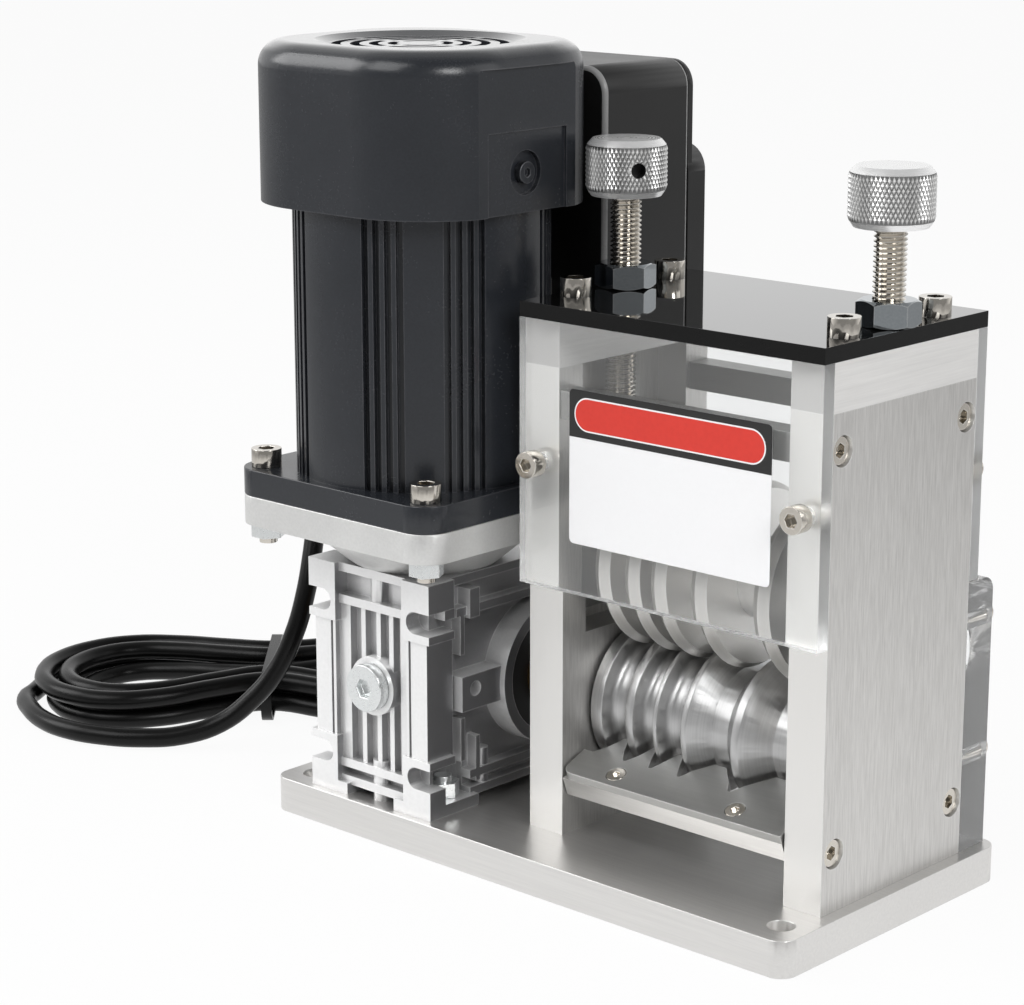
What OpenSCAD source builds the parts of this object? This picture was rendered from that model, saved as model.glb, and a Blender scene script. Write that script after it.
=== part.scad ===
// Bench wire stripper with a worm-geared motor, a grooved feed roller and adjustable disc blades.
// X runs along the base from the motor to the cutting head, Y from front to back, Z up.
// The origin is the centre of the base plate's underside.

/* [Base] */
// Length of the base plate
base_l = 220; // [216:1:240]
// Width of the base plate
base_w = 113; // [110:1:130]
// Thickness of the base plate
base_t = 12; // [10:0.5:16]
// Corner radius of the base plate
base_r = 6; // [4:0.5:8]
// Diameter of the bench holes
base_hole_d = 8.5; // [6:0.5:9]
// Distance of the bench holes along the base
base_hole_dx = 201; // [198:1:204]
// Distance of the bench holes across the base
base_hole_dy = 91; // [88:1:94]

/* [Cutting head] */
// Middle of the cutting head along the base
head_x = 46.75; // [45:0.25:48]
// Middle of the cutting head, the shafts and the gearbox output across the base
head_y = 3.5; // [2:0.5:5]
// Thickness of a side plate
plate_t = 14; // [13:0.5:15]
// Depth of a side plate from front to back
plate_d = 73; // [68:1:78]
// Clear width between the side plates
head_gap = 89.5; // [88:0.5:92]
// Height of the side plates above the blade axis
plate_above = 64.5; // [60:0.5:75]
// Height of a cap bar
cap_h = 15; // [12:0.5:20]
// Thickness of the top cover
cover_t = 5; // [3:0.5:8]
// Thickness of the clear guards
guard_t = 5; // [4:0.5:6]
// Height of the front guard
guard_h = 85.5; // [75:0.5:95]
// Depth of the pocket that a bearing block slides in
pocket_depth = 11.8; // [11.5:0.1:12.5]
// Width of that pocket
pocket_w = 51; // [46:0.5:54]
// Pocket floor below the blade axis
pocket_below = 23.5; // [20:0.5:26]
// Side of a square tie bar
tie_bar = 9; // [8:0.5:10]
// Distance of the tie bar centres from the plate's edges
tie_inset = 5; // [4.8:0.1:6]
// Height of the upper tie bars below the plate's top
tie_drop = 11.6; // [8:0.2:14]
// Height of the lower rear tie bar above the base
tie_rise = 18.4; // [16:0.2:22]

/* [Feed roller] */
// Outer radius of the feed roller
roller_r = 24.5; // [24:0.25:25]
// Gap between the roller's ends and the side plates
roller_gap = 1; // [0.5:0.1:1.5]
// Diameter of the drive shaft
drive_d = 14; // [13.5:0.1:14.5]
// Outer diameter of a roller bearing
roller_bearing_d = 35; // [32:0.5:38]
// Width of a roller bearing
roller_bearing_w = 11; // [8:0.5:11.5]

/* [Blades] */
// Distance between the roller axis and the blade axis
axis_gap = 49.5; // [49.2:0.1:52]
// Edge radius of a blade disc
blade_r = 30; // [26:0.25:30.2]
// Thickness of a blade disc
blade_t = 6; // [4:0.25:6.5]
// Height of the bevel on a blade disc
blade_bevel = 2; // [1.5:0.25:3]
// Diameter of the blade shaft between the bearings
blade_shaft_d = 16; // [14:0.5:20]
// Diameter of the blade shaft's journals
journal_d = 12; // [10:0.5:13]
// Outer diameter of the spacers
spacer_d = 26; // [22:0.5:32]
// Outer diameter of a blade bearing
blade_bearing_d = 28; // [24:0.5:29]
// Width of a blade bearing
blade_bearing_w = 8; // [6:0.5:9]
// Bearing block below the blade axis
block_below = 15.5; // [15:0.25:18]
// Bearing block above the blade axis
block_above = 26; // [22:0.5:30]
// Diameter of the adjusting studs
stud_d = 10; // [8:0.5:10.4]
// Stud axis behind the plate's inner face
stud_inset = 6.2; // [6:0.1:6.4]
// Stud depth in the bearing block
stud_seat = 8; // [5:0.5:10]
// Diameter of a knob
knob_d = 26; // [20:0.5:30]
// Height of a knob
knob_h = 18; // [14:0.5:24]
// Knob height above the top cover
knob_rise = 29.5; // [20:0.5:40]
// Width across the flats of a lock nut
nut_w = 17; // [16:0.5:18]
// Height of a lock nut
nut_h = 8; // [5:0.5:10]

/* [Comb] */
// Slope of the comb in degrees
comb_slope = 21; // [18:0.5:23]
// Thickness of the comb plate
comb_t = 3; // [2:0.25:3.5]
// Depth of the comb plate without its teeth
comb_d = 16.3; // [14.5:0.1:16.5]
// Thickness of the comb bar
comb_bar_t = 6.5; // [5:0.5:7]
// Depth of the comb bar
comb_bar_d = 12; // [9:0.5:13]

/* [Wire guide] */
// Thickness of the wire guide block
guide_t = 14; // [10:0.5:15]
// Height of the wire guide block
guide_h = 89; // [80:0.5:92]

/* [Gearbox] */
// Middle of the gearbox and the motor along the base
drive_x = -65.5; // [-66.5:0.25:-65]
// Width of the gearbox housing
gear_w = 56; // [54:0.5:58]
// Height of the gearbox along the worm
gear_h = 80; // [78:0.5:84]
// Distance between the worm axis and the output axis
centre_gap = 30; // [29.8:0.1:30.6]
// Housing in front of the worm axis
worm_front = 27; // [26:0.5:29]
// Housing behind the output axis
output_back = 40; // [38:0.5:42]
// Width of the gearbox over its output faces
output_w = 63; // [61:0.5:66]
// Outer diameter of the output ring
output_ring_d = 50; // [48:0.5:54]
// Outer diameter of the output hub
hub_d = 25; // [22:0.5:26]
// Outer diameter of an output bearing
output_bearing_d = 42; // [40:0.5:44]
// Width of an output bearing
output_bearing_w = 9; // [7:0.5:10]

/* [Motor] */
// Distance of a flange bolt from the edge of the flange
flange_edge = 8.25; // [7:0.25:9]
// Corner radius of the flange
flange_r = 10; // [6:0.5:12]
// Distance of the flange bolts
bolt_pitch = 73.5; // [71:0.5:74]
// Height of the cast neck under the input flange
neck_h = 12.5; // [10:0.5:16]
// Thickness of the input flange
input_flange_t = 10; // [8:0.5:14]
// Thickness of the motor flange
motor_flange_t = 9; // [7:0.5:12]
// Radius of the motor body
motor_r = 42; // [40:0.5:43]
// Length of the motor body
motor_h = 105; // [103:0.5:108]
// Wall of the motor body
motor_wall = 4; // [3:0.5:5]
// Depth of the grooves between the ribs
rib_depth = 2.5; // [1:0.25:2.75]
// Width of the fan cover from front to back
fan_cover_w = 90; // [88:0.5:92]
// Width of the fan cover from side to side
fan_cover_l = 97; // [95:0.5:99]
// Corner radius of the fan cover
fan_cover_corner = 34; // [30:0.5:36]
// Height of the fan cover
fan_cover_h = 51.5; // [45:0.5:60]
// Overlap of the fan cover on the motor body
fan_cover_lap = 17; // [16:0.5:19]
// Rounding of the fan cover's top edge
fan_cover_r = 8; // [4:0.5:10]
// Wall of the fan cover
fan_cover_wall = 2; // [1.5:0.25:2.75]

/* [Control box] */
// Width of the control box
box_w = 77; // [60:1:84]
// Depth of the control box
box_d = 43; // [36:1:50]
// Height of the control box
box_h = 125; // [110:1:135]
// Top of the control box below the top of the fan cover
box_drop = 10; // [5:0.5:20]
// Wall of the control box
box_wall = 2.5; // [2:0.25:3.5]
// Rounding of the control box
box_r = 9; // [6:0.5:10]
// Depth of the lid behind the box
lid_d = 9; // [6:0.5:12]
// Height of the lid
lid_h = 96; // [80:1:100]
// Width of the rocker switch
switch_w = 22; // [18:0.5:26]
// Height of the rocker switch
switch_h = 30; // [26:0.5:34]

/* [Cord] */
// Diameter of the cord
cord_d = 7.2; // [6:0.2:7.4]
// Half length of the hank
hank_half_l = 92; // [88:1:96]
// Half width of the hank
hank_half_w = 42; // [40:1:44]
// Step from turn to turn
hank_step = 9; // [8.8:0.1:9.2]
// Rise from layer to layer
hank_rise = 8; // [7.8:0.1:8.4]

/* [Hidden] */
$fn = 64;

// Clearances: a seated piece, a running shaft, and a piece that slides or passes by
seat_gap = 0.02;
run_gap = 0.06;
slide_gap = 0.3;
hair = 0.01;
through = 1;
// Socket screws: thread diameter, head diameter, head height, socket width
m5 = [5, 8.5, 5, 4];
m6 = [6, 10, 6, 5];
nut_m6_w = 10;
nut_m6_h = 5;

// Places along X
inner_left = head_x - head_gap / 2;
inner_right = head_x + head_gap / 2;
outer_left = inner_left - plate_t;
outer_right = inner_right + plate_t;
head_w = outer_right - outer_left;
stud_left = inner_left - stud_inset;
stud_right = inner_right + stud_inset;
plate_mid = plate_t / 2;
// Places along Y
plate_front = head_y - plate_d / 2;
plate_back = head_y + plate_d / 2;
motor_y = head_y - centre_gap;
gear_front = motor_y - worm_front;
gear_back = head_y + output_back;
gear_d = gear_back - gear_front;
flange_w = bolt_pitch + 2 * flange_edge;
// Places along Z
roller_z = base_t + gear_h / 2;
blade_z = roller_z + axis_gap;
plate_top = blade_z + plate_above;
plate_h = plate_top - base_t;
cap_top = plate_top + cap_h;
cover_top = cap_top + cover_t;
knob_z = cover_top + knob_rise;
gear_top = base_t + gear_h;
input_flange_z = gear_top + neck_h;
motor_flange_z = input_flange_z + input_flange_t;
motor_z = motor_flange_z + motor_flange_t;
motor_top = motor_z + motor_h;
fan_cover_z = motor_top - fan_cover_lap;
fan_cover_top = fan_cover_z + fan_cover_h;

// Roller grooves: middle from the roller's left end, half width, depth, half width of the floor
roller_left = inner_left + roller_gap;
roller_l = head_gap - 2 * roller_gap;
grooves = [[10, 5, 6, 1.8], [22.2, 4.2, 6, 1.4], [32.8, 5, 6, 1.8], [48.8, 9, 6, 3.2], [72.8, 12.2, 8, 4.5]];
groove_wall = 0.7;
groove_wall_h = 3.6;
wide_groove = 8;
wire_z = roller_z + roller_r - 1.5;

// A row of copies at the four corners of a rectangle
module at_corners(dx, dy) {
    for (sx = [-1, 1], sy = [-1, 1])
        translate([sx * dx / 2, sy * dy / 2, 0]) children();
}

// A rectangle with round corners, centred
module round_rect(w, d, r) {
    union() {
        square([w - 2 * r, d], center = true);
        square([w, d - 2 * r], center = true);
        for (sx = [-1, 1], sy = [-1, 1])
            translate([sx * (w / 2 - r), sy * (d / 2 - r)]) circle(r);
    }
}

// A socket head screw that points down from the underside of its head at the origin
module socket_screw(size, length) {
    difference() {
        union() {
            cylinder(d = size[1], h = size[2]);
            translate([0, 0, -length]) cylinder(d = size[0], h = length + hair);
        }
        translate([0, 0, size[2] / 2]) cylinder(d = size[3] * 2 / sqrt(3), h = size[2], $fn = 6);
    }
}

module hex_nut(width, height, bore) {
    difference() {
        cylinder(d = width * 2 / sqrt(3), h = height, $fn = 6);
        translate([0, 0, -through]) cylinder(d = bore, h = height + 2 * through);
    }
}

module ring(outer_d, inner_d, width) {
    difference() {
        cylinder(d = outer_d, h = width);
        translate([0, 0, -through]) cylinder(d = inner_d, h = width + 2 * through);
    }
}

// Turns a shape built along Z so that it runs along +X
module along_x() {
    rotate([0, 90, 0]) children();
}

// Base plate with bench holes, screw holes under the side plates and stud holes under the gearbox
base_screw_y = plate_d / 2 - 14;
base_screw_seat = 4;
base_screw_l = 24;
stud_inset_x = 8;
stud_inset_y = 14.2;
gear_stud_d = 6;
stud_dx = gear_w - 2 * stud_inset_x;
stud_dy = gear_d - 2 * stud_inset_y;
gear_y = (gear_front + gear_back) / 2;

module at_base_screws() {
    for (x = [outer_left + plate_mid, outer_right - plate_mid], s = [-1, 1])
        translate([x, head_y + s * base_screw_y, 0]) children();
}

module base_plate() {
    color("gainsboro")
    difference() {
        linear_extrude(base_t) round_rect(base_l, base_w, base_r);
        at_corners(base_hole_dx, base_hole_dy)
            translate([0, 0, -through]) cylinder(d = base_hole_d, h = base_t + 2 * through);
        at_base_screws() {
            translate([0, 0, -through]) cylinder(d = m6[0] + 2 * slide_gap, h = base_t + 2 * through);
            translate([0, 0, -through]) cylinder(d = m6[1] + 1, h = m6[2] + through + 0.5);
        }
        translate([drive_x, gear_y, 0]) at_corners(stud_dx, stud_dy)
            translate([0, 0, base_t / 2]) cylinder(d = gear_stud_d + 2 * seat_gap, h = base_t);
    }
}

module base_screws() {
    color("dimgray")
    at_base_screws()
        translate([0, 0, m6[2] + 0.5]) rotate([180, 0, 0]) socket_screw(m6, base_screw_l);
}

// Side plates: pocket for the bearing block, seat of the roller bearing and screw holes
guard_screw_z = cap_top - guard_h * 0.535;
guard_screw_l = 14;
guide_screw_l = 9;
side_screw_l = 22;
side_head_sink = 6;
cap_screw_y = 23;
cap_screw_l = cover_t + 10;
cap_bolt_y = plate_d / 2 - 5;
cap_bolt_l = cap_h - 6 + 7;
upper_tie_z = plate_top - tie_drop;
lower_tie_z = base_t + tie_rise;
tie_front_y = plate_front + tie_inset;
tie_rear_y = plate_back - tie_inset;
comb_y = plate_front - 1.5;
comb_drop = 17.5;
comb_z = roller_z - comb_drop;
comb_mid_u = 5.6;
comb_mid_t = -(comb_t + comb_bar_t / 2);
comb_screw_y = comb_y + comb_mid_u * cos(comb_slope) - comb_mid_t * sin(comb_slope);
comb_screw_z = comb_z + comb_mid_u * sin(comb_slope) + comb_mid_t * cos(comb_slope);

// Centres of the screws through a side plate into the bars
side_places = [
    [tie_front_y, upper_tie_z], [tie_rear_y, upper_tie_z], [tie_rear_y, lower_tie_z],
    [comb_screw_y, comb_screw_z]
];
guide_screw_z = [base_t + tie_rise + 11.6, base_t + guide_h - 14];

// One side plate with its inner face at X = 0 and its body on the negative side
module side_plate(drive_hole) {
    difference() {
        translate([-plate_t, plate_front, base_t]) cube([plate_t, plate_d, plate_h]);
        // Pocket, open at the top
        translate([-pocket_depth, head_y - pocket_w / 2, blade_z - pocket_below])
            cube([plate_t, pocket_w, plate_h]);
        // Bearing seat
        translate([-roller_bearing_w - seat_gap, head_y, roller_z])
            along_x() cylinder(d = roller_bearing_d + 2 * seat_gap, h = plate_t);
        if (drive_hole)
            translate([-plate_t - through, head_y, roller_z])
                along_x() cylinder(d = drive_d + 4, h = plate_t + 2 * through);
        for (p = side_places) {
            translate([-plate_t - through, p[0], p[1]])
                along_x() cylinder(d = m5[0] + 2 * seat_gap, h = plate_t + 2 * through);
            translate([-plate_t - through, p[0], p[1]])
                along_x() cylinder(d = m5[1] + 1, h = side_head_sink + through);
        }
        // Threads for the cap, guard, guide and base screws
        for (s = [-1, 1]) {
            translate([-plate_mid, head_y + s * cap_bolt_y, plate_top - 8])
                cylinder(d = m5[0] + 2 * seat_gap, h = 10);
            translate([-plate_mid, head_y + s * base_screw_y, 0])
                cylinder(d = m6[0] + 2 * seat_gap, h = base_screw_l + m6[2] + 2);
        }
        translate([-plate_mid, plate_front - through, guard_screw_z])
            rotate([-90, 0, 0]) cylinder(d = m5[0] + 2 * seat_gap, h = guard_screw_l - guard_t + 2 * through);
        for (z = concat(guide_screw_z, guard_screw_z))
            translate([-plate_mid, plate_back + through, z])
                rotate([90, 0, 0]) cylinder(d = m5[0] + 2 * seat_gap, h = guide_screw_l + 2 * through);
    }
}

// Places a piece on both sides of the head, mirrored for the right side
module on_left() {
    translate([inner_left, 0, 0]) children();
}

module on_right() {
    translate([inner_right, 0, 0]) mirror([1, 0, 0]) children();
}

module left_side_plate() {
    color("lightgray") on_left() side_plate(true);
}

module right_side_plate() {
    color("lightgray") on_right() side_plate(false);
}

module cap_bar() {
    difference() {
        translate([-plate_t, plate_front, plate_top]) cube([plate_t, plate_d, cap_h]);
        translate([-stud_inset, head_y, plate_top - through])
            cylinder(d = stud_d + 2 * slide_gap, h = cap_h + 2 * through);
        for (s = [-1, 1]) {
            translate([-plate_mid, head_y + s * cap_screw_y, cap_top - 12])
                cylinder(d = m6[0] + 2 * seat_gap, h = 12 + through);
            translate([-plate_mid, head_y + s * cap_bolt_y, plate_top - through])
                cylinder(d = m5[0] + 2 * slide_gap, h = cap_h + 2 * through);
            translate([-plate_mid, head_y + s * cap_bolt_y, cap_top - 6])
                cylinder(d = m5[1] + 1, h = 6 + through);
        }
    }
}

module cap_bars() {
    color("lightgray") {
        on_left() cap_bar();
        on_right() cap_bar();
    }
}

// Top cover over both cap bars and the upper edges of the guards
module top_cover() {
    color("black")
    difference() {
        translate([outer_left, plate_front - guard_t, cap_top])
            cube([head_w, plate_d + 2 * guard_t, cover_t]);
        for (x = [stud_left, stud_right])
            translate([x, head_y, cap_top - through])
                cylinder(d = stud_d + 2 * slide_gap, h = cover_t + 2 * through);
        for (x = [outer_left + plate_mid, outer_right - plate_mid], s = [-1, 1])
            translate([x, head_y + s * cap_screw_y, cap_top - through])
                cylinder(d = m6[0] + 2 * slide_gap, h = cover_t + 2 * through);
    }
}

module cap_screws() {
    color("silver")
    for (x = [outer_left + plate_mid, outer_right - plate_mid], s = [-1, 1]) {
        translate([x, head_y + s * cap_screw_y, cover_top]) socket_screw(m6, cap_screw_l);
        translate([x, head_y + s * cap_bolt_y, cap_top - 6]) socket_screw(m5, cap_bolt_l);
    }
}

// Clear guards in front of and behind the blades
module guard_sheet(y, z0) {
    difference() {
        translate([outer_left, y, z0]) cube([head_w, guard_t, cap_top - z0]);
        for (x = [outer_left + plate_mid, outer_right - plate_mid])
            translate([x, y - through, guard_screw_z])
                rotate([-90, 0, 0]) cylinder(d = m5[0] + 2 * slide_gap, h = guard_t + 2 * through);
    }
}

module front_guard() {
    color([0.85, 0.92, 0.95, 0.3]) guard_sheet(plate_front - guard_t, cap_top - guard_h);
}

module rear_guard() {
    color([0.85, 0.92, 0.95, 0.3]) guard_sheet(plate_back, base_t + guide_h + slide_gap);
}

module guard_screws() {
    color("tan")
    for (x = [outer_left + plate_mid, outer_right - plate_mid]) {
        translate([x, plate_front - guard_t, guard_screw_z])
            rotate([90, 0, 0]) socket_screw(m5, guard_screw_l);
        translate([x, plate_back + guard_t, guard_screw_z])
            rotate([-90, 0, 0]) socket_screw(m5, guard_screw_l);
        for (z = guide_screw_z)
            translate([x, plate_back + guide_t, z])
                rotate([-90, 0, 0]) socket_screw(m5, guide_t + guide_screw_l);
    }
}

// Clear block behind the roller with one guide hole for each groove
guide_corner_r = 5;
module wire_guide() {
    color([0.85, 0.92, 0.95, 0.3])
    difference() {
        translate([outer_left, plate_back, base_t]) union() {
            cube([head_w, guide_t - guide_corner_r, guide_h]);
            cube([head_w, guide_t, guide_h - guide_corner_r]);
            translate([0, guide_t - guide_corner_r, guide_h - guide_corner_r])
                along_x() cylinder(r = guide_corner_r, h = head_w);
        }
        for (g = grooves)
            translate([roller_left + g[0], plate_back - through, wire_z])
                rotate([-90, 0, 0]) cylinder(r = g[1] - 1, h = guide_t + 2 * through);
        for (x = [outer_left + plate_mid, outer_right - plate_mid], z = guide_screw_z)
            translate([x, plate_back - through, z])
                rotate([-90, 0, 0]) cylinder(d = m5[0] + 2 * slide_gap, h = guide_t + 2 * through);
    }
}

// Square bars that hold the two side plates apart
module tie_bars() {
    color("silver")
    for (p = [side_places[0], side_places[1], side_places[2]])
        difference() {
            translate([inner_left, p[0] - tie_bar / 2, p[1] - tie_bar / 2])
                cube([head_gap, tie_bar, tie_bar]);
            for (side = [0, 1])
                translate([side == 0 ? inner_left - through : inner_right + through, p[0], p[1]])
                    rotate([0, side == 0 ? 90 : -90, 0])
                        cylinder(d = m5[0] + 2 * seat_gap, h = side_screw_l);
        }
}

module side_screws() {
    color("tan")
    for (p = side_places) {
        translate([outer_left + side_head_sink, p[0], p[1]])
            rotate([0, -90, 0]) socket_screw(m5, side_screw_l);
        translate([outer_right - side_head_sink, p[0], p[1]])
            rotate([0, 90, 0]) socket_screw(m5, side_screw_l);
    }
}

// Comb under the front of the roller: a bar between the plates with a toothed plate on it
comb_gap = 0.6;
comb_l = head_gap - 2 * comb_gap;
comb_screw_x = [19, 67];
comb_screw_u = 5.5;
comb_screw_l = 8;
comb_head_d = 6.4;
comb_head_h = 1.6;
comb_shank_d = 3.5;
tooth_side_gap = 0.9;
tooth_tip_gap = 1.6;

module on_comb() {
    translate([inner_left + comb_gap, comb_y, comb_z]) rotate([comb_slope, 0, 0]) children();
}

module comb_bar() {
    color("silver")
    difference() {
        on_comb() translate([0, 0, -comb_t - comb_bar_t]) difference() {
            cube([comb_l, comb_bar_d, comb_bar_t]);
            for (x = comb_screw_x)
                translate([x, comb_screw_u, -through])
                    cylinder(d = comb_shank_d + 2 * seat_gap, h = comb_bar_t + 2 * through);
        }
        for (side = [0, 1])
            translate([side == 0 ? inner_left : inner_right, comb_screw_y, comb_screw_z])
                rotate([0, side == 0 ? 90 : -90, 0])
                    translate([0, 0, -through]) cylinder(d = m5[0] + 2 * seat_gap, h = side_screw_l);
    }
}

// Distance along the comb's slope at which its top face comes within a radius of the roller's axis
comb_dy = head_y - comb_y;
comb_dz = roller_z - comb_z;
comb_near = comb_dy * cos(comb_slope) + comb_dz * sin(comb_slope);
comb_off = comb_dz * cos(comb_slope) - comb_dy * sin(comb_slope);
function comb_reach(r) = comb_near - sqrt(max(0, r * r - comb_off * comb_off));

module comb_plate() {
    color("silver")
    on_comb() translate([0, 0, -comb_t]) difference() {
        union() {
            linear_extrude(comb_t) difference() {
                square([comb_l, comb_d]);
                // Rounded front corner at the left end
                difference() {
                    translate([-through, -through]) square([4 + through, 4 + through]);
                    translate([4, 4]) circle(4);
                }
            }
            for (g = grooves) {
                mid = roller_left + g[0] - inner_left - comb_gap;
                root = g[1] - tooth_side_gap - groove_wall;
                tip = max(0.5, g[3] - 0.9);
                reach = comb_reach(roller_r - g[2] + tooth_tip_gap);
                linear_extrude(comb_t) polygon([
                    [mid - root, comb_d - hair], [mid + root, comb_d - hair],
                    [mid + tip, reach], [mid - tip, reach]
                ]);
            }
        }
        for (x = comb_screw_x) {
            translate([x, comb_screw_u, -through])
                cylinder(d = comb_shank_d + 2 * slide_gap, h = comb_t + 2 * through);
            translate([x, comb_screw_u, comb_t - comb_head_h])
                cylinder(d = comb_head_d + 0.4, h = comb_head_h + through);
        }
    }
}

module comb_screws() {
    color("gray")
    on_comb() for (x = comb_screw_x)
        translate([x, comb_screw_u, -comb_head_h]) {
            difference() {
                cylinder(d = comb_head_d, h = comb_head_h);
                translate([0, 0, comb_head_h - 1.1]) cylinder(d = 2.5 * 2 / sqrt(3), h = 1.1 + through, $fn = 6);
            }
            translate([0, 0, -comb_screw_l + comb_head_h]) cylinder(d = comb_shank_d, h = comb_screw_l - comb_head_h + hair);
        }
}

// Gearbox housing: an open ribbed casting that stands on the feet of its corner lugs
lug_w = 12.5;
lug_d = 12;
lug_h = 20;
lug_slot_d = 7.4;
lug_slot_l = 10.4;
lug_slot_z = 13.5;
foot_t = 4;
foot_w = 17;
foot_d = 23;
foot_gap = 3;
ledge_t = 3;
low_ledge = 6;
top_ledge = 11;
nut_room_r = 6.8;
nut_room_h = 12;
core_inset = 6;
rib_t = 2;
// Panels beside the middle recess and ribs in it, from the middle of the gearbox
recess_left = -11.3;
recess_right = 12;
front_ribs = [-5.4, 1.7, 7.6];
// Ribs on the sides: place from the front, lower end and upper end from the base
side_ribs = [[9.3, 29.7, 54.6], [17.8, 52.7, 67.4], [17.8, 7.7, 31], [24.9, 7.6, 23.4]];
wheel_chamber_r = 24;
wheel_chamber_w = 30;
worm_bore_d = 24;
worm_bearing_d = 32;
worm_bearing_w = 9;
worm_journal_d = 15;
cover_plate_t = 5;
plug_boss_d = 20;
plug_d = 16;
plug_z = roller_z + 0.5;
plug_x = drive_x + 0.5;
gear_left = drive_x - gear_w / 2;
gear_right = drive_x + gear_w / 2;
output_left = drive_x - output_w / 2;
output_right = drive_x + output_w / 2;

// The four corners of the gearbox: a place for its front left corner, mirrored to the others
module at_gear_corners() {
    for (sx = [0, 1], sy = [0, 1])
        translate([drive_x, gear_y, base_t]) mirror([sx, 0, 0]) mirror([0, sy, 0])
            translate([-gear_w / 2, -gear_d / 2, 0]) children();
}

module gearbox_frame() {
    difference() {
        union() {
            for (z = [foot_gap, foot_gap + low_ledge, gear_h - ledge_t - top_ledge, gear_h - ledge_t])
                translate([gear_left + 2, gear_front + 2, base_t + z]) cube([gear_w - 4, gear_d - 4, ledge_t]);
            at_gear_corners() {
                translate([2, 1, 0]) cube([lug_w - 3, lug_d, gear_h]);
                cube([foot_w, foot_d, foot_t]);
                cube([lug_w, lug_d, lug_h]);
                translate([0, 0, gear_h - lug_h]) cube([lug_w, lug_d, lug_h]);
            }
        }
        // Slots of the lugs, open to the sides
        at_gear_corners() for (z = [lug_slot_z, gear_h - lug_slot_z]) {
            translate([-through, -through, z - lug_slot_d / 2])
                cube([lug_slot_l - lug_slot_d / 2 + through, lug_d + 3 + through, lug_slot_d]);
            translate([lug_slot_l - lug_slot_d / 2, -through, z])
                rotate([-90, 0, 0]) cylinder(d = lug_slot_d, h = lug_d + 3 + through);
        }
        // Grooves along the columns
        at_gear_corners() translate([lug_w - 3.2, -through, lug_h])
            cube([1, 2 + through, gear_h - 2 * lug_h]);
    }
}

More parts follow.
